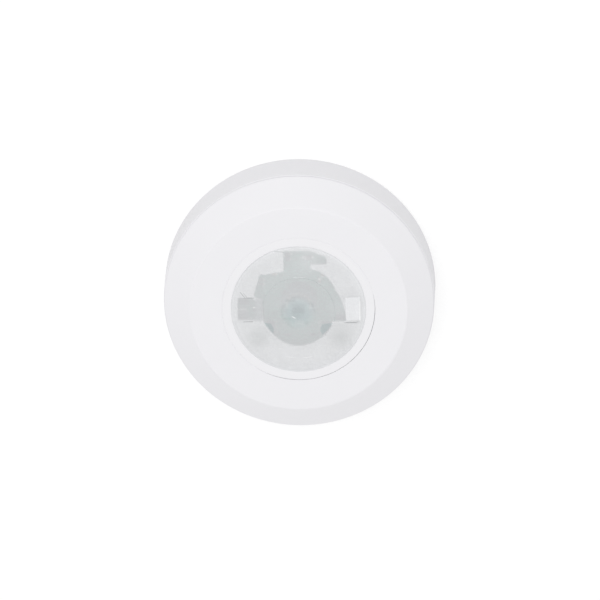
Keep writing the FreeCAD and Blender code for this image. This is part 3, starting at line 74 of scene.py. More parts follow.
class Graph:
    def __init__(self, tree):
        self.tree = tree
        tree.nodes.clear()

    def node(self, kind, inputs=None, output=0, **settings):
        made = self.tree.nodes.new("ShaderNode" + kind)
        for name, value in settings.items():
            setattr(made, name, value)
        for name, value in (inputs or {}).items():
            if isinstance(value, Wire):
                self.tree.links.new(value.socket, made.inputs[name])
            else:
                made.inputs[name].default_value = value
        return Wire(self, made.outputs[output]) if made.outputs else None

    def maths(self, operation, *terms):
        return self.node("Math", dict(enumerate(terms)), operation=operation)

    def place(self):
        # the three coordinates in the part's own frame, in millimetres
        spot = self.node("TexCoord", output="Object")
        return [self.node("SeparateXYZ", {0: spot}, axis) * 1000 for axis in range(3)]

    def noise(self, size, detail=2.0, roughness=0.5):
        # cloudy values near 0.5 with blotches about size millimetres across
        spot = self.node("TexCoord", output="Object")
        values = {"Vector": spot, "Scale": 1 / (size * mm), "Detail": detail, "Roughness": roughness}
        return self.node("TexNoise", values)

    def between(self, value, low, high, newLow=0.0, newHigh=1.0):
        ends = {"From Min": low, "From Max": high, "To Min": newLow, "To Max": newHigh}
        return self.node("MapRange", {"Value": value, **ends}, interpolation_type="SMOOTHSTEP")

    def patchy(self, noise, low, high):
        # from low to high over the range that a noise mostly keeps to
        return self.between(noise, 0.3, 0.7, low, high)

    def tint(self, factor, first, second):
        inputs = {0: factor, 6: opaque(first), 7: opaque(second)}
        return self.node("Mix", inputs, 2, data_type="RGBA")

    def relief(self, height, depth):
        # depth in millimetres for a height of one
        return self.node("Bump", {"Height": height, "Distance": depth * mm})

    def within(self, value, low, high, soft=0.06):
        # one between low and high, with soft ends
        start = self.between(value, low - soft, low + soft)
        return start * self.between(value, high - soft, high + soft, 1, 0)

    def distance(self, x, y, centre):
        return ((x - centre[0]) ** 2 + (y - centre[1]) ** 2) ** 0.5

    def inside(self, x, y, corners, soft):
        # one inside a convex outline whose corners go round against the clock
        mask = 1
        for (ax, ay), (bx, by) in zip(corners, corners[1:] + corners[:1]):
            long = math.hypot(bx - ax, by - ay)
            depth = (y - ay) * ((bx - ax) / long) - (x - ax) * ((by - ay) / long)
            mask = mask * self.between(depth, -soft, soft)
        return mask

    def stroke(self, x, y, start, end, half):
        # one along a straight stroke with soft sides and ends
        long = math.hypot(end[0] - start[0], end[1] - start[1])
        dx, dy = (end[0] - start[0]) / long, (end[1] - start[1]) / long
        along = (x - start[0]) * dx + (y - start[1]) * dy
        across = (y - start[1]) * dx - (x - start[0]) * dy
        return self.within(along, 0, long, half + 0.2) * self.within(across, -half, half, half)

    def upward(self):
        # how far a face looks up, from minus one to one; the eye gets it turned round from behind
        behind = self.node("NewGeometry", output="Backfacing")
        normal = self.node("NewGeometry", output="Normal")
        return self.node("SeparateXYZ", {0: normal}, "Z") * (1 - behind * 2)


def opaque(colour):
    return colour if isinstance(colour, Wire) else (*colour, 1)


def emptyMaterial(name):
    material = bpy.data.materials.new(name)
    material.use_nodes = True
    return material, Graph(material.node_tree)


def finish(name, build):
    # build gets the graph and returns the inputs of the surface shader
    material, graph = emptyMaterial(name)
    surface = graph.node("BsdfPrincipled", build(graph))
    graph.node("OutputMaterial", {"Surface": surface})
    return material


def paint(material, *names):
    for name in names:
        slots = nodes[name].data.materials
        if len(slots) == 0:
            slots.append(material)
        for index in range(len(slots)):
            slots[index] = material


def blend(mask, first, second):
    # a number that goes from first to second with the mask
    return mask * (second - first) + first


def dimmed(colour, share):
    return tuple(part * share for part in colour)


# plastic with the finely pitted skin of an eroded mould, a faint flow mottle and patches of polish
skin = {
    "flowSize": 9.0,       # millimetres across
    "waveSize": 6.0,
    "pitShare": 0.8,       # of the relief
    "waveShare": 0.6,
    "flowShine": 0.6,      # share of the flow marks in the patches of polish
    "mottle": 0.012,
    "polish": 0.05,        # roughness to either side of the mean
}


def mouldedPlastic(name, colour, gloss=0.42, grain=0.26, grainDepth=0.045, extra=None):
    def build(graph):
        flow = graph.noise(skin["flowSize"], 3.0)
        pits = graph.noise(grain, 2.0, 0.6)
        waves = graph.noise(skin["waveSize"], 1.0)
        height = pits * skin["pitShare"] + waves * skin["waveShare"]
        shade = graph.tint(flow, dimmed(colour, 1 - skin["mottle"]), colour)
        if extra:
            height, shade = extra(graph, height, shade)
        patches = flow * skin["flowShine"] + pits * (1 - skin["flowShine"])
        return {
            "Base Color": shade,
            "Roughness": graph.patchy(patches, gloss - skin["polish"], gloss + skin["polish"]),
            "Normal": graph.relief(height, grainDepth),
        }
    return finish(name, build)


backMarks = {
    "count": 8,            # ejector pins, which mark the inner floor and the back
    "circle": 39.0,
    "pinRadius": 2.2,
    "pinRim": 0.08,        # half width
    "gateRadius": 1.1,
    "soft": 0.1,
    "depth": 1.6,
    "shade": (0.70, 0.71, 0.72),
    "rimShade": 0.35,
    "gateShade": 0.25,
}


def ejectorMarks(graph, height, shade):
    # marks on the faces that look up or down: a ring of pins and the gate in the middle
    x, y = graph.place()[:2]
    sector = math.tau / backMarks["count"]
    away = (graph.maths("FRACT", graph.maths("ARCTAN2", y, x) / sector) - 0.5) * sector
    radius = graph.distance(x, y, (0, 0))
    along = radius * graph.maths("COSINE", away) - backMarks["circle"]
    across = radius * graph.maths("SINE", away)
    pin = (along ** 2 + across ** 2) ** 0.5
    flat = graph.between(abs(graph.upward()), 0.8, 0.95)
    edge, half, soft = backMarks["pinRadius"], backMarks["pinRim"], backMarks["soft"]
    rim = graph.within(pin, edge - half, edge + half, soft / 2) * flat
    dish = graph.between(pin, edge - soft, edge, 1, 0) * flat
    gate = graph.between(radius, backMarks["gateRadius"] - soft, backMarks["gateRadius"], 1, 0) * flat
    # the pin rims are painted darker, as shade in their crease and as a mark, and the gate darker as its
    # own mark
    stainAndShade = rim * backMarks["rimShade"] + gate * backMarks["gateShade"]
    sunk = (gate * 3 - dish - rim * 2) * backMarks["depth"]
    return height + sunk, graph.tint(stainAndShade, shade, backMarks["shade"])


whites = {
    "cover": (0.862, 0.857, 0.880),
    "housing": (0.840, 0.836, 0.858),
    "ring": (0.866, 0.862, 0.882),
}
paint(mouldedPlastic("coverWhite", whites["cover"]), "front_cover")
paint(mouldedPlastic("housingWhite", whites["housing"], 0.46, 0.32, 0.055, ejectorMarks), "base_housing")
paint(mouldedPlastic("ringWhite", whites["ring"], 0.36, grainDepth=0.02), "lens_ring")

meshing = {
    "sharpAngle": 32.0,    # degrees; edges that turn further stay sharp
    "cornerRadius": 0.4,
    "cornerSteps": 4,
    "cornerShare": 0.46,   # of a side, the most that a rounded corner takes
    "circleSteps": 144,
}


def placed(name, data):
    item = bpy.data.objects.new(name, data)
    bpy.context.scene.collection.objects.link(item)
    return item


def newMesh(name, made, material):
    mesh = bpy.data.meshes.new(name)
    made.to_mesh(mesh)
    made.free()
    mesh.materials.append(material)
    return mesh


def newPiece(name, made, material, body):
    bmesh.ops.recalc_face_normals(made, faces=made.faces)
    mesh = newMesh(name, made, material)
    for face in mesh.polygons:
        face.use_smooth = True
    mesh.set_sharp_from_angle(angle=math.radians(meshing["sharpAngle"]))
    piece = placed(name, mesh)
    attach(piece, body)
    return piece


def rounded(points):
    # an outline in millimetres with its corners rounded; a point may carry its own radius
    outline = []
    for index, point in enumerate(points):
        here = Vector(point[:2])
        reach = point[2] if len(point) > 2 else meshing["cornerRadius"]
        ends = []
        for other in (points[index - 1], points[(index + 1) % len(points)]):
            way = Vector(other[:2]) - here
            ends.append(here + way * min(reach / way.length, meshing["cornerShare"]))
        for step in range(meshing["cornerSteps"] + 1):
            share = step / meshing["cornerSteps"]
            middle = here * 2 * share * (1 - share)
            outline.append(ends[0] * (1 - share) ** 2 + middle + ends[1] * share ** 2)
    return outline


def arc(radius, start, end, count):
    # points of an arc between two turns in degrees, ends included
    turns = (math.radians(start + (end - start) * step / count) for step in range(count + 1))
    return [Vector((radius * math.cos(turn), radius * math.sin(turn))) for turn in turns]


def circle(radius):
    return arc(radius, 0, 360, meshing["circleSteps"])[:-1]


def loft(made, loops, capped=True):
    for lower, upper in zip(loops, loops[1:]):
        for step in range(len(lower)):
            after = (step + 1) % len(lower)
            made.faces.new((lower[step], lower[after], upper[after], upper[step]))
    if capped:
        made.faces.new(loops[0][::-1])
        made.faces.new(loops[-1])


def addSheet(made, outlines, low, high):
    # a flat sheet between two heights; all outlines but the first are openings
    points = [point for outline in outlines for point in outline]
    under, over = ([made.verts.new((point.x * mm, point.y * mm, level * mm)) for point in points]
                   for level in (low, high))
    for triangle in tessellate_polygon([[point.to_3d() for point in outline] for outline in outlines]):
        made.faces.new([over[index] for index in triangle])
        made.faces.new([under[index] for index in reversed(triangle)])
    start = 0
    for outline in outlines:
        end = start + len(outline)
        loft(made, (under[start:end], over[start:end]), False)
        start = end


guard = {
    "colour": (0.800, 0.800, 0.800),
    "shade": (0.42, 0.44, 0.42),
    "dimples": ((-14.6, -11.6, 0.95), (15.2, -11.2, 1.0)),  # sinks over the snap studs, with painted shade in them
    "dimpleRadius": (0.6, 6.6),  # from the flat middle to the edge
    "dimpleDepth": 3,  # in depths of the plastic's grain
    "edgeShade": 0.35,  # painted shade on the cut edges, which pick up less light
    "bridge": ((-16.3, -13.3), (-5.3, 3.3)),  # thin web beside the window, painted dark as shade
    "bridgeShade": (0.16, 0.20, 0.20),
    "plate": (21.5, 22.7),  # lower and upper side
    "plateRadius": 24.2,
    "rim": (24.18, 25.48, 21.5, 22.88),  # inner and outer radius, lower and upper side
    "skirt": (18.6, 19.6, 17.8, 21.6),
    "skirtOpenings": ((52, 108), (165, 197)),  # degrees round from +X
    "skirtSteps": 40,
    "pad": (22.6, 23.88),
    "bevel": 0.1,
    "bevelAngle": 50.0,
    "mouth": (
        (-5.3, 14.1, 0.3), (-5.3, 22.3, 0.5), (4.9, 22.4, 1.0), (7.8, 20.9, 1.2), (10.0, 20.4, 0.8),
        (10.7, 19.0, 0.8), (10.4, 17.0, 0.6), (4.6, 16.9, 0.3), (4.6, 15.2, 0.5), (7.7, 14.3, 2),
        (9.6, 12.9, 2), (11.1, 11.5, 2), (12.4, 9.6, 2), (14.0, 6.4, 2), (15.3, 4.1, 2), (16.1, 1.5, 2),
        (16.9, -0.9, 2), (17.3, -3.2, 2), (17.6, -5.5, 0.3), (12.2, -5.7, 0.4), (12.1, -7.2, 1.5),
        (10.8, -9.8, 2), (9.3, -11.4, 2), (7.2, -12.9, 2), (5.2, -14.1, 2), (2.8, -15.0, 2),
        (0.5, -15.4, 2), (-1.9, -15.4, 2), (-4.5, -14.6, 2), (-7.3, -13.0, 2), (-9.8, -10.6, 2),
        (-11.8, -8.0, 2), (-13.2, -5.1, 1.0), (-13.2, 3.1, 0.4), (-15.7, 3.6, 0.3), (-16.5, 4.8, 0.5),
        (-15.0, 9.9, 2), (-14.5, 12.4, 1), (-13.7, 13.4, 0.4), (-12.1, 12.8, 1), (-10.4, 13.4, 1),
        (-8.4, 13.8, 1),
    ),
    "window": ((-22.4, 3.8), (-17.0, 3.8, 0.3), (-16.0, 2.4, 0.3), (-16.0, -5.1, 0.3), (-22.5, -5.1)),
    "slits": (
        ((17.4, -6.4, 0.1), (21.5, -6.4, 0.2), (22.6, -5.9, 0.2), (22.5, -5.5, 0.1), (21.4, -5.9, 0.2),
         (17.4, -5.9, 0.1)),
        ((-20.6, -6.1, 0.1), (-16.8, -5.8, 0.1), (-16.8, -5.4, 0.1), (-20.6, -5.7, 0.1)),
    ),
    "padOutline": ((16.9, 4.6), (19.8, 4.6, 1), (22.2, 3.9, 0.6), (22.6, -4.8, 0.4), (17.9, -4.8, 0.4),
                   (17.2, -0.4, 2), (16.4, 2.1, 2)),
}


def guardFinish(graph, height, shade):
    x, y = graph.place()[:2]
    # painted shade: darker in the dimples and on the cut edges, darkest over the web beside the window
    sink, stainAndShade = 0, 0
    for centre in guard["dimples"]:
        dip = graph.between(graph.distance(x, y, centre), *guard["dimpleRadius"], 1, 0)
        sink, stainAndShade = sink + dip, stainAndShade + dip * centre[2]
    upright = graph.between(abs(graph.upward()), 0.3, 0.7, 1, 0)
    bridge = graph.within(x, *guard["bridge"][0], 0.1) * graph.within(y, *guard["bridge"][1], 0.5)
    shade = graph.tint(stainAndShade + upright * guard["edgeShade"], shade, guard["shade"])
    return height - sink * guard["dimpleDepth"], graph.tint(bridge, shade, guard["bridgeShade"])


def lightGuard():
    # the guard with the mouth, notch, window and raised pad as they show through the lens
    made = bmesh.new()
    openings = [rounded(outline) for outline in (guard["mouth"], guard["window"], *guard["slits"])]
    addSheet(made, [circle(guard["plateRadius"])] + openings, *guard["plate"])
    inner, outer, low, high = guard["rim"]
    addSheet(made, [circle(outer), circle(inner)], low, high)
    inner, outer, low, high = guard["skirt"]
    (first, second), (third, fourth) = guard["skirtOpenings"]
    for ends in ((second, third), (fourth, first + 360)):
        outside, inside = (arc(radius, *ends, guard["skirtSteps"]) for radius in (outer, inner))
        addSheet(made, [outside + inside[::-1]], low, high)
    addSheet(made, [rounded(guard["padOutline"])], *guard["pad"])
    material = mouldedPlastic("guardWhite", guard["colour"], 0.5, grainDepth=0.012, extra=guardFinish)
    paint(material, "light_guard")
    piece = newPiece("lightGuard", made, material, "cover")
    soft = piece.modifiers.new("softEdges", "BEVEL")
    soft.width = guard["bevel"] * mm
    soft.segments = 2
    soft.limit_method = "ANGLE"
    soft.angle_limit = math.radians(guard["bevelAngle"])
    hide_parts("light_guard")


lightGuard()
print("white mouldings painted")


lens = {
    "colour": (0.945, 0.955, 0.975),
    "milk": 0.595,         # share of light that the outer face scatters
    "zoneRadius": 13.45,   # of the raised middle zone
    "zoneHeight": 26.4,
    "centreMilk": 0.568,   # the middle facet is clearer
    "centreRadius": (1.7, 3.1),
    "thinColour": (0.885, 0.965, 0.985),  # tone of the clearer facets
    "thinRadius": 7.5,     # where it fades out round the middle
    "frostFrom": 21.8,     # frosting grows from here to the edge
    "frostMilk": 0.665,
    "edgeMilk": 0.73,      # thick and solid from the edge radius outwards
    "edgeRadius": 24.1,
    "cloudSize": 4.0,
    "cloudMilk": 0.007,
    "edgeAndShadowStrokes": (  # painted dark lines: edges of the moulded facets, and shadow lines of the guard's edges beneath: both ends, half width and strength
        ((16.7, -4.85), (21.3, -4.95), 0.11, 0.55),
        ((21.3, -4.95), (22.6, -4.45), 0.11, 0.35),
        ((-20.3, -4.50), (-16.6, -4.30), 0.11, 0.50),
        ((-21.3, 7.0), (-19.7, 5.0), 0.14, 0.60),
        ((-20.2, 6.9), (-18.9, 5.2), 0.12, 0.35),
        ((-19.6, 5.0), (-16.2, 5.1), 0.14, 0.50),
        ((-8.8, 23.1), (-4.9, 22.7), 0.12, 0.40),
        ((-4.3, 4.75), (-1.1, 4.75), 0.45, 0.13),
        ((-6.0, 1.0), (-5.2, 3.4), 0.50, 0.09),
        ((-5.7, -2.35), (-2.6, -2.5), 0.50, 0.14),
        ((-4.6, -3.7), (-3.0, -3.8), 0.60, 0.07),
        ((2.2, -4.3), (3.8, -4.1), 0.50, 0.11),
        ((5.0, -8.7), (6.2, -8.7), 0.45, 0.10),
        ((3.6, 3.4), (5.4, 3.3), 0.40, 0.07),
        ((-12.9, 4.2), (-12.8, -1.6), 0.16, 0.12),
    ),
    # painted highlights along short strokes: both ends, half width and strength
    "glintStrokes": (
        ((22.6, -4.3), (22.6, 3.4), 0.18, 0.8),
        ((-2.3, -1.5), (-1.0, -2.2), 0.18, 0.7),
        ((3.9, 1.9), (6.3, 1.8), 0.40, 0.10),
    ),
    "lineColour": (0.30, 0.33, 0.33),
    "glintColour": (0.95, 0.95, 0.95),
    # painted light: the facet over the raised pad is made milkier, so that it shows lighter, like the lit
    # pad beneath
    "facet": ((17.4, 22.6), (-3.9, 5.0)),
    "litFacetMilk": 0.17,
    "blotches": (  # x, y, radius and change of milk, which makes the lens lighter or darker in patches
        (-8.0, -1.5, 6.0, -0.020), (-0.5, 0.3, 7.0, -0.055), (9.0, -2.0, 4.5, -0.008),
        (14.0, -15.0, 8.0, -0.064), (20.5, 9.0, 7.0, 0.020), (22.6, -1.0, 4.0, 0.035),
        (-20.0, 12.0, 8.0, -0.020), (-6.0, 4.0, 4.0, 0.010), (14.6, 1.0, 5.5, 0.040),
        (4.0, 19.0, 6.5, 0.050), (-3.0, 27.5, 8.0, -0.040), (-9.0, 19.0, 7.0, -0.015),
        (-17.0, 19.0, 9.0, -0.048), (23.5, -1.0, 5.0, 0.025), (-22.0, -1.0, 6.0, 0.015),
        (-14.0, -15.0, 9.0, -0.025), (0.0, -20.0, 8.0, -0.012),
    ),
    "clearFacets": (  # two small facets through which the chips on the board show darker
        ((-12.80, -4.30), (-9.30, -8.70), (-9.00, -6.70), (-10.00, -4.60)),
        ((12.70, -4.50), (8.70, -4.60), (7.90, -7.00), (8.60, -9.10), (10.20, -7.90)),
    ),
    "clearFacetMilk": -0.065,
    "clearFacetSoft": 0.35,
    "middleRing": (6.0, 0.35, 0.13),  # radius, half width and shade of the middle facets' edge
    "glintArcs": (  # painted highlights on edges of facets that catch the light: radius, ends, side and strength
        (13.62, -1.7, 2.4, 1, 0.5),
        (18.9, -4.3, -0.9, -1, 0.35),
        (18.9, 1.6, 4.8, -1, 0.5),
    ),
    "glintWidth": 0.07,    # half of it
    "innerMilk": 0.03,
    "groovePitch": 0.8,
    "grooveShare": 0.5,    # of the relief
    "waveShare": 0.4,
    "reliefDepth": 0.012,
    "gloss": (0.22, 0.31),
    "refraction": 1.51,
}


def lensMilk(graph, x, y, radius, cloud, clear):
    # how much light the outer face scatters, from facet to facet
    middle = graph.between(radius, *lens["centreRadius"], 1, 0)
    edge = graph.between(radius, lens["edgeRadius"] - 0.25, lens["edgeRadius"] + 0.15)
    facet = graph.within(x, *lens["facet"][0], 0.15) * graph.within(y, *lens["facet"][1], 0.15)
    frost = graph.between(radius, lens["frostFrom"], lens["edgeRadius"])
    milk = lens["milk"] + (cloud - 0.5) * lens["cloudMilk"]
    milk = milk + middle * (lens["centreMilk"] - lens["milk"]) + facet * lens["litFacetMilk"]
    milk = milk + frost * (lens["frostMilk"] - lens["milk"]) + clear * lens["clearFacetMilk"]
    milk = milk + edge * (lens["edgeMilk"] - milk)
    for *centre, size, change in lens["blotches"]:
        milk = milk + graph.between(graph.distance(x, y, centre), 0, size, change, 0)
    return milk, edge


def lensMarks(graph, x, y, radius):
    # painted dark lines for the facet edges and for shadow lines of the guard beneath, and painted
    # highlights on the edges that catch the light
    lines, glints = 0, 0
    for start, end, half, strength in lens["edgeAndShadowStrokes"]:
        lines = lines + graph.stroke(x, y, start, end, half) * strength
    size, half, shade = lens["middleRing"]
    broken = graph.between(graph.noise(2.6, 0.0), 0.48, 0.62)
    lines = lines + graph.within(radius, size - half, size + half, 0.5) * broken * shade
    half = lens["glintWidth"]
    for size, low, high, side, strength in lens["glintArcs"]:
        bow = graph.within(radius, size - half, size + half, half) * graph.within(x, low, high, 0.8)
        glints = glints + bow * graph.between(y * side, 0, 1) * strength
    for start, end, half, strength in lens["glintStrokes"]:
        glints = glints + graph.stroke(x, y, start, end, half) * strength
    return lines, glints


def milkyLens(graph):
    x, y, z = graph.place()
    radius = graph.distance(x, y, (0, 0))
    cloud = graph.noise(lens["cloudSize"])
    clear = 0
    for corners in lens["clearFacets"]:
        clear = clear + graph.inside(x, y, corners, lens["clearFacetSoft"])
    milk, edge = lensMilk(graph, x, y, radius, cloud, clear)
    # the outer face scatters, the inner face is nearly clear, and the thick edge is solid
    facing = graph.upward()
    up = graph.between(facing, 0.4, 0.6)
    down = graph.between(facing, -0.6, -0.4, 1, 0)
    step = graph.within(radius, lens["zoneRadius"] - 0.15, lens["zoneRadius"] + 0.15)
    step = step * graph.between(z, lens["zoneHeight"] - 0.1, lens["zoneHeight"])
    upright = (1 - up - down) * (edge + step * milk * (1 - edge))
    lines, glints = lensMarks(graph, x, y, radius)
    glints = glints * up
    waves = graph.noise(5.0, 1.0)
    grooves = graph.maths("SINE", radius * (math.tau / lens["groovePitch"]))
    height = grooves * down * lens["grooveShare"] + waves * lens["waveShare"]
    thin = graph.between(radius, lens["centreRadius"][1], lens["thinRadius"], 1, 0) + clear
    tone = graph.tint(lines, graph.tint(thin, lens["colour"], lens["thinColour"]), lens["lineColour"])
    return {
        "Base Color": graph.tint(glints, tone, lens["glintColour"]),
        "Roughness": graph.patchy(cloud, *lens["gloss"]),
        "Alpha": up * (milk + glints * (1 - milk)) + down * lens["innerMilk"] + upright,
        "Normal": graph.relief(height, lens["reliefDepth"]),
        "IOR": lens["refraction"],
    }


paint(finish("milkyLens", milkyLens), "fresnel_lens")
print("lens painted")


# thin lips on the lens ring: one nearly closes the seam but for one side, one closes the joint at the lens
seam = {
    "root": 27.80,
    "wall": 28.20,
    "tight": 0.012,
    "open": 0.135,
    "openSide": -55.0,     # degrees round from +X
    "openSpan": 72.0,
    "fade": 25.0,          # where it narrows again
    "top": 24.395,
    "bottom": 24.10,
    "steps": 360,
}
joint = {"root": 25.06, "wall": 24.90, "gap": 0.002, "top": 24.48, "bottom": 24.15}


def seamGap(turn):
    away = abs((math.degrees(turn) - seam["openSide"] + 180) % 360 - 180)
    share = min(1.0, max(0.0, (seam["openSpan"] - away) / seam["fade"]))
    share = share * share * (3 - 2 * share)
    return seam["tight"] + (seam["open"] - seam["tight"]) * share


def ringStrip(made, sizes, edge):
    # a square-edged hoop from the root radius to an edge that may change round the turn
    loops = []
    for step in range(seam["steps"]):
        turn = math.tau * step / seam["steps"]
        root, rim, top, bottom = sizes["root"], edge(turn), sizes["top"], sizes["bottom"]
        loops.append([
            made.verts.new((radius * mm * math.cos(turn), radius * mm * math.sin(turn), level * mm))
            for radius, level in ((root, top), (rim, top), (rim, bottom), (root, bottom))
        ])
    loft(made, loops + loops[:1], False)


lips = bmesh.new()
ringStrip(lips, seam, lambda turn: seam["wall"] - seamGap(turn))
ringStrip(lips, joint, lambda turn: joint["wall"] + joint["gap"])
newPiece("ringLips", lips, nodes["lens_ring"].data.materials[0], "cover")
print("ring lips made")


# finishes of the pieces inside
def worn(graph, colour, rough, mottle=0.07):
    # colour and roughness, a little uneven
    cloud = graph.noise(0.8, 3.0)
    return {
        "Base Color": graph.tint(cloud, dimmed(colour, 1 - mottle), colour),
        "Roughness": graph.patchy(cloud, rough - 0.05, rough + 0.06),
    }


def plain(name, colour, rough, metal=0.0, mottle=0.07, grain=0.15, depth=0.004):
    def build(graph):
        normal = graph.relief(graph.noise(grain), depth)
        return {**worn(graph, colour, rough, mottle), "Metallic": metal, "Normal": normal}
    return finish(name, build)


turned = {
    "pitch": 0.12,
    "ringShare": 0.4,      # of the relief
    "streakSize": 0.05,
    "depth": 0.003,
}


def turnedMetal(name, colour, rough, centres=((0, 0),)):
    # drawn or turned metal with fine rings round the nearest axis
    def build(graph):
        x, y = graph.place()[:2]
        near = graph.distance(x, y, centres[0])
        for centre in centres[1:]:
            near = graph.maths("MINIMUM", near, graph.distance(x, y, centre))
        rings = graph.maths("SINE", near * (math.tau / turned["pitch"]))
        height = rings * turned["ringShare"] + graph.noise(turned["streakSize"], 1.0)
        normal = graph.relief(height, turned["depth"])
        return {**worn(graph, colour, rough), "Metallic": 1.0, "Normal": normal}
    return finish(name, build)


brushed = {
    "stretch": 0.04,       # scale along the lines
    "lineScale": 9000.0,   # and across them
    "smearSize": 1.6,
    "smear": 0.86,         # share of the colour that is left where it is smeared
    "depth": 0.004,
}


def brushedMetal(name, colour, rough, axis):
    # rolled sheet metal with fine lines along one axis
    def build(graph):
        stretch = [1.0, 1.0, 1.0]
        stretch[axis] = brushed["stretch"]
        spot = graph.node("TexCoord", output="Object")
        drawn = graph.node("VectorMath", {0: spot, 1: stretch}, operation="MULTIPLY")
        lines = graph.node("TexNoise", {"Vector": drawn, "Scale": brushed["lineScale"]})
        smear = graph.noise(brushed["smearSize"], 3.0)
        return {
            "Base Color": graph.tint(smear, dimmed(colour, brushed["smear"]), colour),
            "Roughness": graph.patchy(lines * 0.5 + smear * 0.5, rough - 0.08, rough + 0.1),
            "Metallic": 1.0,
            "Normal": graph.relief(lines, brushed["depth"]),
        }
    return finish(name, build)


board = {
    "top": 13.6,
    "mask": (0.060, 0.255, 0.185),
    "maskLight": 1.12,     # the paler clouds in it
    "core": (0.52, 0.50, 0.32),
    "coreRough": 0.4,      # added to the roughness at the cut edge
    "ringTin": (0.80, 0.74, 0.62),
    "rough": (0.36, 0.30),  # of the mask and of the tinned rings
    "holes": ((12.0, 19.6), (12.0, -19.6), (-32.88, 17.4), (-32.88, -17.4)),
    "holeRing": (1.90, 1.98),
    "weave": 12.0,         # radians of the weave's wave in a millimetre
    "weaveShare": 0.25,    # of the relief
    "depth": 0.006,
}


def boardFinish(graph):
    # green mask over woven glass, bare at the cut edge, with tinned rings round the screw holes
    x, y = graph.place()[:2]
    flat = graph.between(abs(graph.upward()), 0.4, 0.6)
    weave = graph.maths("SINE", x * board["weave"]) * graph.maths("SINE", y * board["weave"])
    rings = 0
    for centre in board["holes"]:
        rings = rings + graph.between(graph.distance(x, y, centre), *board["holeRing"], 1, 0)
    rings = rings * flat
    green = graph.tint(graph.noise(5.0), board["mask"], dimmed(board["mask"], board["maskLight"]))
    return {
        "Base Color": graph.tint(flat, board["core"], graph.tint(rings, green, board["ringTin"])),
        "Roughness": blend(rings, *board["rough"]) + (1 - flat) * board["coreRough"],
        "Metallic": rings,
        "Normal": graph.relief(weave * board["weaveShare"] + graph.noise(0.35, 1.0), board["depth"]),
    }


shield = {
    "tin": (0.70, 0.70, 0.68),
    "rough": 0.34,
    "ventPitch": 1.5,
    "ventRadius": (0.26, 0.30),
    "ventField": ((-29.0, -21.0), (-11.2, -4.8)),
    "ventOrigin": (-25.0, -8.0),
    "ventShade": (0.02, 0.02, 0.02),
    "depth": 0.02,
}


def shieldFinish(graph):
    # rows of small vents in the lid of the radio shield, painted black for the shade inside the holes
    hole, field = 0, 1
    for value, start, ends in zip(graph.place(), shield["ventOrigin"], shield["ventField"]):
        away = graph.maths("FRACT", (value - start) / shield["ventPitch"]) - 0.5
        hole, field = hole + away ** 2, graph.within(value, *ends) * field
    lid = graph.between(graph.upward(), 0.9, 0.98)
    vents = graph.between(hole ** 0.5, *shield["ventRadius"], 1, 0) * lid * field
    return {
        **worn(graph, shield["tin"], shield["rough"]),
        "Base Color": graph.tint(vents, shield["tin"], shield["ventShade"]),
        "Metallic": 1 - vents,
        "Normal": graph.relief(graph.noise(0.5) * 0.3 - vents * 4, shield["depth"]),
    }


def halves(name, mask, first, second):
    # two finishes on one piece, each a colour, a roughness and a metal share
    def build(graph):
        share = mask(graph, *graph.place())
        cloud = graph.noise(0.6, 3.0)
        colours = [graph.tint(cloud, dimmed(colour, 0.9), colour) for colour in (first[0], second[0])]
        return {
            "Base Color": graph.tint(share, *colours),
            "Roughness": blend(share, first[1], second[1]) + (cloud - 0.5) * 0.08,
            "Metallic": blend(share, first[2], second[2]),
            "Normal": graph.relief(graph.noise(0.15), 0.004),
        }
    return finish(name, build)


cell = {
    "axis": (31.0, 11.8),
    "sleeve": (0.115, 0.135, 0.165),
    "sleeveEnd": (16.50, 16.60),
    "band": (0.62, 0.63, 0.64),
    "bandStart": (10.16, 10.24),
    "steel": (0.66, 0.65, 0.63),
    "rough": (0.24, 0.34),   # of the sleeve and of the steel
    "fold": (15.2, 16.5),    # where the sleeve puckers more and more
    "puckers": 46.0,
    "depth": 0.02,
}


def cellFinish(graph):
    # shrunk sleeve with a pale band at one end, puckered where it folds over the bare steel ends
    x, y, z = graph.place()
    bare = graph.between(abs(y), *cell["sleeveEnd"])
    band = graph.between(y, *cell["bandStart"])
    turn = graph.maths("ARCTAN2", z - cell["axis"][1], x - cell["axis"][0])
    pucker = graph.maths("SINE", turn * cell["puckers"]) * graph.between(abs(y), *cell["fold"])
    sleeve = graph.tint(band, cell["sleeve"], cell["band"])
    return {
        "Base Color": graph.tint(bare, sleeve, cell["steel"]),
        "Roughness": blend(bare, *cell["rough"]) + (graph.noise(2.0) - 0.5) * 0.1,
        "Metallic": bare,
        "Normal": graph.relief(pucker * (1 - bare) + graph.noise(3.0, 1.0) * 2, cell["depth"]),
    }


capacitor = {
    "can": (0.76, 0.76, 0.77),
    "dark": (0.03, 0.03, 0.035),
    "rough": (0.3, 0.5),     # of the can and of the dark parts
    "foot": (14.37, 14.43),
    "top": (18.87, 18.93),
    "segment": (-21.7, -21.6),
}


def capacitorFinish(graph):
    # black foot, bare can, and a dark segment on the top over the negative leg
    y, z = graph.place()[1:]
    foot = graph.between(z, *capacitor["foot"], 1, 0)
    segment = graph.between(z, *capacitor["top"]) * graph.between(y, *capacitor["segment"], 1, 0)
    dark = foot + segment * (1 - foot)
    return {
        "Base Color": graph.tint(dark, capacitor["can"], capacitor["dark"]),
        "Roughness": blend(dark, *capacitor["rough"]),
        "Metallic": 1 - dark,
        "Normal": graph.relief(graph.noise(0.1), 0.004),
    }


tin = ((0.74, 0.73, 0.70), 0.32, 1.0)
blackEpoxy = (0.026, 0.026, 0.029)
blackPlastic = (0.028, 0.028, 0.030)
chip = {
    "cloud": (0.021, 0.021, 0.023),
    "dot": (0.06, 0.06, 0.062),
    "dotEdge": 0.04,
    "legsFrom": (4.0, 4.1),  # only the chip beyond this has legs outside its body
    "legsAxis": 10.6,
    "bodyHalf": (1.98, 2.04),
    "rough": (0.55, 0.32),  # of the body and of the legs
    "depth": 0.02,
}


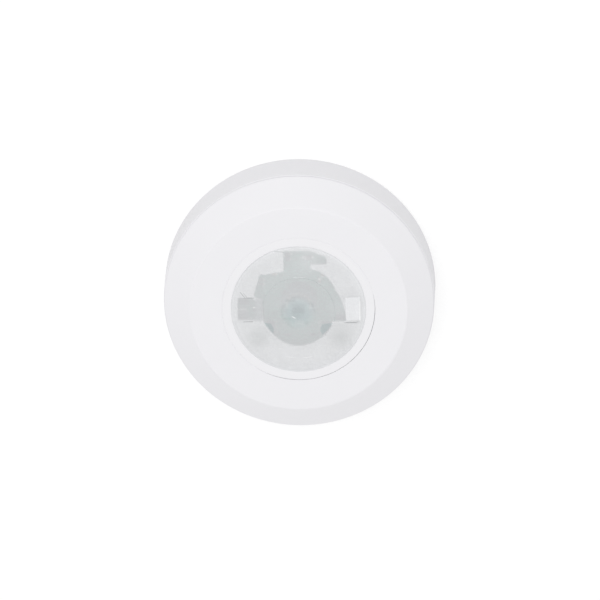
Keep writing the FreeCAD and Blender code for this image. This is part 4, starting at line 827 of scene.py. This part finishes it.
def chipFinish(name, centre, radius):
    # moulded chip with a round dimple beside its first leg
    def build(graph):
        x, y = graph.place()[:2]
        edge = chip["dotEdge"]
        dot = graph.between(graph.distance(x, y, centre), radius - edge, radius + edge, 1, 0)
        legs = graph.between(abs(y - chip["legsAxis"]), *chip["bodyHalf"])
        legs = legs * graph.between(y, *chip["legsFrom"])
        cloud = graph.noise(0.25, 3.0)
        body = graph.tint(dot, graph.tint(cloud, chip["cloud"], blackEpoxy), chip["dot"])
        return {
            "Base Color": graph.tint(legs, body, tin[0]),
            "Roughness": blend(legs, *chip["rough"]) - dot * 0.2,
            "Metallic": legs,
            "Normal": graph.relief(cloud - dot * 4, chip["depth"]),
        }
    return finish(name, build)


paint(finish("boardGreen", boardFinish), "circuit_board")
paint(turnedMetal("screwSteel", (0.62, 0.62, 0.60), 0.3, board["holes"]), "board_screws")
paint(plain("spacerDark", (0.045, 0.10, 0.095), 0.5), "sensor_spacer")
paint(turnedMetal("canMetal", (0.17, 0.22, 0.22), 0.40), "sensor_can")
paint(turnedMetal("headerMetal", (0.58, 0.56, 0.50), 0.34), "sensor_header")
paint(plain("filterDark", (0.030, 0.034, 0.040), 0.12, mottle=0.3, depth=0.001), "sensor_window")
paint(halves("lightClear", lambda graph, x, y, z: graph.between(z, 14.46, 14.54),
             ((0.46, 0.48, 0.45), 0.5, 0.0), ((0.40, 0.44, 0.38), 0.1, 0.0)), "status_light")
paint(plain("switchBlack", blackPlastic, 0.42, grain=0.1, depth=0.008), "tamper_switch", "pairing_switch")
paint(plain("buttonBlack", (0.035, 0.035, 0.037), 0.32), "pairing_button")
paint(plain("plungerWhite", (0.78, 0.77, 0.73), 0.38, mottle=0.03), "tamper_plunger")
paint(plain("modeBlue", (0.028, 0.10, 0.40), 0.38, grain=0.1, depth=0.008), "mode_switch")
paint(plain("sliderWhite", (0.80, 0.80, 0.79), 0.4, mottle=0.03), "mode_slider_1", "mode_slider_2")
paint(finish("batterySleeve", cellFinish), "battery_cell")
paint(plain("holderBlack", blackPlastic, 0.5, grain=0.25, depth=0.012), "battery_holder")
paint(brushedMetal("contactNickel", (0.70, 0.68, 0.63), 0.26, 2),
      "battery_spring_contact", "battery_plate_contact")
paint(finish("shieldTin", shieldFinish), "radio_shield")
paint(halves("ceramicCream", lambda graph, x, y, z: graph.between(abs(y + 9.5), 2.85, 2.92),
             ((0.76, 0.73, 0.63), 0.45, 0.0), tin), "chip_antenna")
paint(chipFinish("controllerBlack", (-23.0, 2.2), 0.4), "controller_chip")
paint(chipFinish("amplifierBlack", (-29.7, 9.5), 0.5), "amplifier_chip")
paint(brushedMetal("crystalCan", (0.72, 0.72, 0.73), 0.24, 1), "clock_crystal")
paint(finish("capacitorCan", capacitorFinish), "capacitors")
print("inner pieces painted")


# small parts soldered to the board, with heights over its top. A kind has its spots (x, y and a turn in
# degrees), blocks (layer, plan, lower and upper side, soft edge, draft, places) and maybe legs with pads
def twoEnded(layer, size, spots):
    # a chip resistor or capacitor with its metal ends and their solder
    long, wide, high = size
    ends, feet = (((-share * long, 0), (share * long, 0)) for share in (0.405, 0.5))
    return {"spots": spots, "blocks": (
        (layer, (long * 0.7, wide - 0.04), 0.03, high - 0.02, 0.03, 0),
        ("metal", (long * 0.19, wide), 0.02, high, 0.05, 0, *ends),
        ("metal", (long * 0.5, wide + 0.15), 0, 0.05, 0.03, 0.01, *feet),
    )}


smallParts = (
    {   # chips
        "spots": ((-11.3, -11.5), (10.1, -11.8)),
        "blocks": (
            ("black", (3.9, 4.9), 0.12, 0.85, 0.02, -0.06),
            ("black", (3.98, 4.98), 0.85, 1.55, 0.1, 0.1),
        ),
        "legs": [(side * 1.95, (row - 1.5) * 1.27) for side in (-1, 1) for row in range(4)],
        "leg": (1.05, 0.92, 0.42),  # reach, rise and width
        "pad": ((1.2, 0.62), 1.38),  # plan, and its distance out in starts of the leg
    },
    twoEnded("black", (1.6, 0.8, 0.45), (
        (-16.4, 5.6), (-16.4, 7.2), (-13.8, 5.6), (-13.8, 7.2), (-16.8, -4.6, 90), (-15.2, -4.6, 90),
        (-13.6, -4.6, 90), (-20.8, 5.2, 90), (-22.6, 5.2, 90), (4.6, -14.4), (-4.6, -14.6), (15.4, 6, 90),
        (17.2, 6, 90), (-30.2, -15.6), (-27.4, -15.6), (-33.6, -6.8, 90), (-29.0, 16.6), (-26.2, 16.6),
    )),
    twoEnded("cream", (1.6, 0.8, 0.8), (
        (8.6, 9.4, 90), (10.4, 9.4, 90), (-9.0, 9.8), (-9.0, 11.6), (-24.9, 0.6, 90), (-26.7, 0.6, 90),
        (-35.2, -13.9), (-33.6, -9.6, 90), (7.6, 6.9, 90),
    )),
    twoEnded("cream", (2.0, 1.25, 1.1), ((16.6, -12.6), (16.6, -15.0))),
    {   # transistors
        "spots": ((15.0, -7.4, 90), (16.2, 12.4), (-4.0, 16.6)),
        "blocks": (("black", (1.36, 2.96), 0.1, 1.05, 0.07, 0.06),),
        "legs": ((0.66, 0.95), (0.66, -0.95), (-0.66, 0.0)),
        "leg": (0.62, 0.6, 0.42),
        "pad": ((0.8, 0.7), 1.8),
    },
    {   # diodes, with a printed band
        "spots": ((17.0, -1.6, 90), (3.4, 16.2)),
        "blocks": (
            ("black", (2.7, 1.6), 0.1, 1.15, 0.08, 0.07),
            ("ink", (0.42, 1.30), 1.14, 1.162, 0.01, 0, (-0.85, 0)),
            ("metal", (0.75, 0.6), 0.02, 0.2, 0.03, 0, (-1.55, 0), (1.55, 0)),
            ("metal", (1.0, 0.9), 0, 0.03, 0.02, 0, (-1.65, 0), (1.65, 0)),
        ),
    },
    {   # coil
        "spots": ((-17.2, -9.6),),
        "blocks": (
            ("black", (3.2, 2.5), 0.05, 1.6, 0.14, 0),
            ("metal", (0.5, 1.9), 0, 0.4, 0.04, 0, (-1.42, 0), (1.42, 0)),
        ),
    },
)
roundParts = (  # layer, spots, radius and height at each level, steps round, pierced or not
    ("ink", ((-12.6, -9.7), (8.8, -10.0)), ((0.32, 1.545), (0.30, 1.556)), 14, False),
    ("metal", [(2.4 * step - 6.0, 19.6) for step in range(6)], ((0.75, 0), (0.75, 0.03)), 20, False),
    ("metal", ((1.8, 1.8), (-1.8, 1.8), (-1.8, -1.8), (19.2, 18.65), (19.2, -18.65)), (  # under the board
        (1.0, -1.59), (0.92, -1.72), (0.62, -2.02), (0.42, -2.35), (0.34, -2.65), (0.16, -2.8),
    ), 20, False),
    ("metal", (
        (-12.4, -8.4), (6.0, 13.4), (-37.2, -8.2), (-34.2, 14.2), (-7.8, -22.2), (-21.2, 3.1), (15.6, 0.6),
        (13.4, 3.4), (-26.0, -17.6), (-12.2, 14.4), (-28.0, 4.4), (-25.6, 4.4), (8.8, 17.6), (14.2, -18.4),
    ), ((0.20, 0), (0.20, 0.035), (0.42, 0.035), (0.42, 0)), 16, True),
)
tracks = (  # width and points
    (0.22, (-18.9, 2.2), (-13.0, 2.2), (-11.9, 3.3), (-11.9, 17.3)),
    (0.22, (-18.9, 1.7), (-12.8, 1.7), (-11.4, 3.1), (-11.4, 17.3)),
    (0.22, (-18.9, 1.2), (-12.6, 1.2), (-10.9, 2.9), (-10.9, 17.3)),
    (0.22, (-18.9, -1.3), (-17.8, -1.3), (-15.2, -3.9), (-15.2, -8.9), (-14.5, -9.6)),
    (0.22, (-18.9, -0.8), (-17.2, -0.8), (-13.6, -4.4), (-13.6, -7.2), (-12.4, -8.4)),
    (0.22, (-8.2, -10.9), (-7.2, -10.9), (-4.0, -7.7), (-4.0, -4.6)),
    (0.22, (-8.2, -9.6), (-7.0, -9.6), (-5.0, -7.6), (-5.0, -4.0)),
    (0.22, (7.0, -9.9), (6.3, -9.9), (4.6, -8.2), (4.6, -4.4)),
    (0.22, (7.0, -11.2), (5.6, -11.2), (3.6, -9.2), (3.6, -5.0)),
    (0.22, (13.2, -9.9), (13.9, -9.9), (15.0, -8.8)),
    (0.22, (13.2, -12.4), (15.6, -12.4)),
    (0.60, (19.2, 18.65), (18.3, 17.7), (18.3, 8.0), (17.3, 7.0)),
    (0.60, (19.2, -18.65), (18.6, -18.0), (18.6, -4.4), (17.3, -3.1)),
    (0.30, (15.2, 12.4), (12.6, 12.4), (10.5, 10.3)),
    (0.30, (-1.6, -9.2), (-5.3, -12.9), (-5.3, -14.4)),
    (0.30, (1.6, -9.2), (3.8, -11.4), (3.8, -14.2)),
    (0.30, (-3.9, -14.6), (-1.6, -16.9), (-1.6, -21.0), (-2.8, -22.2), (-7.6, -22.2)),
    (0.40, (-30.6, -8.2), (-37.3, -8.2)),
    (0.22, (-31.2, 9.0), (-32.4, 9.0), (-34.2, 10.8), (-34.2, 14.0)),
    (0.22, (-18.4, 10.7), (-18.4, 8.6), (-21.2, 5.8), (-21.2, 3.2)),
    (0.22, (-22.6, 4.2), (-22.6, 3.0)),
    (0.22, (-24.4, -18.3), (-24.4, -16.6), (-25.4, -15.6), (-26.5, -15.6)),
    (0.60, (8.6, 8.4), (8.6, 7.2), (9.9, 5.9), (15.0, 5.9)),
    (0.22, (-8.2, 9.8), (-6.6, 9.8), (-4.6, 7.8), (-4.6, 5.2)),
    (0.22, (-8.2, 11.6), (-5.9, 11.6), (-4.0, 13.5), (-4.0, 15.4)),
    (0.22, (-3.6, 19.0), (-3.6, 17.9)), (0.22, (3.6, 19.0), (3.6, 17.2)),
    (0.22, (6.0, 19.0), (6.0, 13.4), (8.4, 11.0)),
)
frames = (  # printed round the larger parts: middle and size
    ((-11.3, -11.5), (4.5, 5.9)), ((10.1, -11.8), (4.5, 5.9)), ((-26.2, 10.6), (5.2, 6.9)),
    ((-18.4, 16.2), (5.2, 11.6)), ((-12.0, 19.9), (7.0, 6.1)), ((-12.8, -19.6), (7.2, 7.0)),
    ((-34.0, 0.0), (7.0, 7.0)), ((-25.0, -8.0), (12.2, 10.6)), ((-21.2, 0.4), (6.4, 6.4)),
    ((-17.2, -9.6), (4.6, 3.4)),
)
# thickness of tracks, print and legs, width of printed lines and gap under a foot
gauges = {"track": 0.03, "ink": 0.02, "inkWidth": 0.13, "leg": 0.16, "legGap": 0.02}


def corner(made, spot, u, v, level):
    # a corner of a small part, whose own plan is turned and set down on its spot
    turn = math.radians(spot[2]) if len(spot) > 2 else 0.0
    return made.verts.new((
        (spot[0] + u * math.cos(turn) - v * math.sin(turn)) * mm,
        (spot[1] + u * math.sin(turn) + v * math.cos(turn)) * mm,
        (board["top"] + level) * mm,
    ))


def block(made, spot, size, low, high, soft, draft, place):
    # a small moulded or fired body: sides that lean in by the draft, soft corners and top edges
    loops = []
    for level, inset in ((low, 0.0), (high - soft, draft), (high, draft + soft)):
        a, b = size[0] / 2 - inset, size[1] / 2 - inset
        plan = ((a, b - soft), (a - soft, b), (soft - a, b), (-a, b - soft),
                (-a, soft - b), (soft - a, -b), (a - soft, -b), (a, soft - b))
        loops.append([corner(made, spot, u + place[0], v + place[1], level) for u, v in plan])
    loft(made, loops)


def leg(made, spot, start, along, reach, rise, width):
    # a leg bent down from the side of a chip to its foot on the board
    side = math.copysign(1, start)
    thick, gap = gauges["leg"], gauges["legGap"]
    plan = ((-0.1, rise), (reach * 0.34, rise), (reach * 0.56, thick), (reach, thick), (reach, gap),
            (reach * 0.44, gap), (reach * 0.22, rise - thick), (-0.1, rise - thick))
    loft(made, [[corner(made, spot, start + side * out, along + edge, up) for out, up in plan]
                for edge in (-width / 2, width / 2)])


def smallPart(layers, kind):
    metal = layers["metal"]
    for spot in kind["spots"]:
        for layer, size, low, high, soft, draft, *places in kind["blocks"]:
            for place in places or [(0, 0)]:
                block(layers[layer], spot, size, low, high, soft, draft, place)
        for start, along in kind.get("legs", ()):
            size, out = kind["pad"]
            leg(metal, spot, start, along, *kind["leg"])
            block(metal, spot, size, 0, 0.03, 0.02, 0, (start * out, along))


def roundPart(made, spot, profile, count, pierced):
    # a pierced one closes on its first level
    turns = [math.tau * step / count for step in range(count)]
    loops = [[corner(made, spot, radius * math.cos(turn), radius * math.sin(turn), level) for turn in turns]
             for radius, level in profile]
    loft(made, loops + loops[:1] if pierced else loops, not pierced)


def trace(made, points, width, thick, closed=False):
    # a flat track along the points, mitred at its corners
    way = [Vector(point) for point in points]
    rails = ([], [])
    for index, here in enumerate(way):
        steps = []
        if index or closed:
            steps.append((here - way[index - 1]).normalized())
        if index < len(way) - 1 or closed:
            steps.append((way[(index + 1) % len(way)] - here).normalized())
        mean = (steps[0] + steps[-1]).normalized()
        across = Vector((-mean.y, mean.x)) * (width / 2 / max(0.4, mean.dot(steps[0])))
        for rail, edge in zip(rails, (across, -across)):
            rail.append([corner(made, here + edge, 0, 0, level) for level in (0, thick)])
    left, right = rails
    order = list(range(len(way))) + ([0] if closed else [])
    for a, b in zip(order, order[1:]):
        made.faces.new((left[a][1], right[a][1], right[b][1], left[b][1]))
        made.faces.new((left[a][0], left[b][0], right[b][0], right[a][0]))
        made.faces.new((left[a][0], left[a][1], left[b][1], left[b][0]))
        made.faces.new((right[a][1], right[a][0], right[b][0], right[b][1]))
    if not closed:
        for end in (0, -1):
            made.faces.new((left[end][0], left[end][1], right[end][1], right[end][0]))


def boardDetails():
    layers = {name: bmesh.new() for name in ("black", "metal", "cream", "ink", "tracks")}
    for kind in smallParts:
        smallPart(layers, kind)
    for layer, spots, *shape in roundParts:
        for spot in spots:
            roundPart(layers[layer], spot, *shape)
    for width, *points in tracks:
        trace(layers["tracks"], points, width, gauges["track"])
    for (x, y), (wide, high) in frames:
        a, b = wide / 2, high / 2
        points = ((x - a, y - b), (x + a, y - b), (x + a, y + b), (x - a, y + b))
        trace(layers["ink"], points, gauges["inkWidth"], gauges["ink"], True)
    for name, layer, slotName, material in (
        ("smallBlackParts", "black", "chip_black",
         plain("smallBlack", blackEpoxy, 0.48, grain=0.1, depth=0.006)),
        ("smallMetalParts", "metal", "shield_tin",
         plain("solderTin", tin[0], 0.3, 1.0, grain=0.4, depth=0.01)),
        ("smallCeramics", "cream", "ceramic_cream",
         plain("firedCeramic", (0.40, 0.28, 0.17), 0.42, mottle=0.12)),
        ("boardPrint", "ink", "ceramic_cream",
         plain("whiteInk", (0.70, 0.71, 0.69), 0.6, mottle=0.1, grain=0.08)),
        ("boardTracks", "tracks", "board_green",
         plain("maskedTrack", (0.085, 0.31, 0.215), 0.34, mottle=0.1, grain=0.3)),
    ):
        newPiece(name, layers[layer], material, "base")


boardDetails()
print("small board parts made")


stage = {
    "floorRings": (49.8, 400.0, 6000.0),   # open under the sensor, so that its back is lit from below
    "floorSteps": 96,
    "floorDrop": 0.05,
    "bounce": 0.90,
    "shown": 0.40,
    "glow": 0.64,
    "sky": 0.825,
    "keyPower": 5.5,
    "keyPlace": (-0.25, 0.58, 1.48),
    "keySize": 1.1,
}


def floorFinish():
    # white and bright for the camera, a plain reflector for the light, and clear from below
    material, graph = emptyMaterial("paleFloor")
    seen = graph.node("LightPath", output="Is Camera Ray")
    below = graph.node("NewGeometry", output="Backfacing")
    bounce, shown = (graph.node("BsdfDiffuse", {"Color": opaque([stage[key]] * 3)})
                     for key in ("bounce", "shown"))
    glow = graph.node("Emission", {"Strength": stage["glow"]})
    bright = graph.node("AddShader", {0: shown, 1: glow})
    top = graph.node("MixShader", {0: seen, 1: bounce, 2: bright})
    clear = graph.node("BsdfTransparent")
    whole = graph.node("MixShader", {0: below, 1: top, 2: clear})
    graph.node("OutputMaterial", {"Surface": whole})
    return material


def ringFloor():
    made = bmesh.new()
    loops = [[made.verts.new((point.x * mm, point.y * mm, -stage["floorDrop"] * mm))
              for point in arc(radius, 0, 360, stage["floorSteps"])[:-1]] for radius in stage["floorRings"]]
    loft(made, loops[::-1], False)
    floor = placed("floor", newMesh("floor", made, floorFinish()))


def studioSky():
    # plain white where the camera sees it, a little darker as a light
    world = bpy.data.worlds.new("studio")
    bpy.context.scene.world = world
    world.use_nodes = True
    graph = Graph(world.node_tree)
    direct = graph.maths("MAXIMUM", *(graph.node("LightPath", output=name)
                                      for name in ("Is Camera Ray", "Is Transmission Ray")))
    lit, shown = (graph.node("Background", {"Color": (1, 1, 1, 1), "Strength": strength})
                  for strength in (stage["sky"], 1.0))
    whole = graph.node("MixShader", {0: direct, 1: lit, 2: shown})
    graph.node("OutputWorld", {"Surface": whole})


def keyLamp():
    lamp = bpy.data.lights.new("keyLamp", "AREA")
    lamp.shape = "DISK"
    lamp.size = stage["keySize"]
    lamp.energy = stage["keyPower"]
    item = placed("keyLamp", lamp)
    item.location = stage["keyPlace"]
    item.rotation_euler = Vector(stage["keyPlace"]).to_track_quat("Z", "Y").to_euler()


ringFloor()
studioSky()
keyLamp()

shot = {
    "azimuth": 175.0,
    "elevation": 67.6,
    "roll": 184.47,
    "distance": 3.0,
    "pixelsPerMm": 2.70,
    "origin": (300.42, 284.10),   # where the centre of the back falls in the picture
    "picture": 600,
    "filmWidth": 36.0,
}


def setCamera():
    around, above, roll = (math.radians(shot[key]) for key in ("azimuth", "elevation", "roll"))
    flat = math.cos(above)
    back = Vector((math.sin(around) * flat, -math.cos(around) * flat, math.sin(above)))
    right = Vector((0, 0, 1)).cross(back).normalized()
    up = back.cross(right)
    right, up = right * math.cos(roll) + up * math.sin(roll), up * math.cos(roll) - right * math.sin(roll)
    half = shot["picture"] / 2
    across = (half - shot["origin"][0]) / shot["pixelsPerMm"] * mm
    upward = (shot["origin"][1] - half) / shot["pixelsPerMm"] * mm
    camera = placed("camera", bpy.data.cameras.new("camera"))
    camera.data.lens = shot["pixelsPerMm"] * shot["distance"] / mm * shot["filmWidth"] / shot["picture"]
    camera.data.sensor_width = shot["filmWidth"]
    camera.data.clip_start = 0.05
    camera.data.clip_end = 50
    place = back * shot["distance"] + right * across + up * upward
    camera.matrix_world = Matrix.Translation(place) @ Matrix((right, up, back)).transposed().to_4x4()
    bpy.context.scene.camera = camera


setCamera()
bpy.context.scene.view_settings.view_transform = "Standard"
print("stage, lights and camera set")
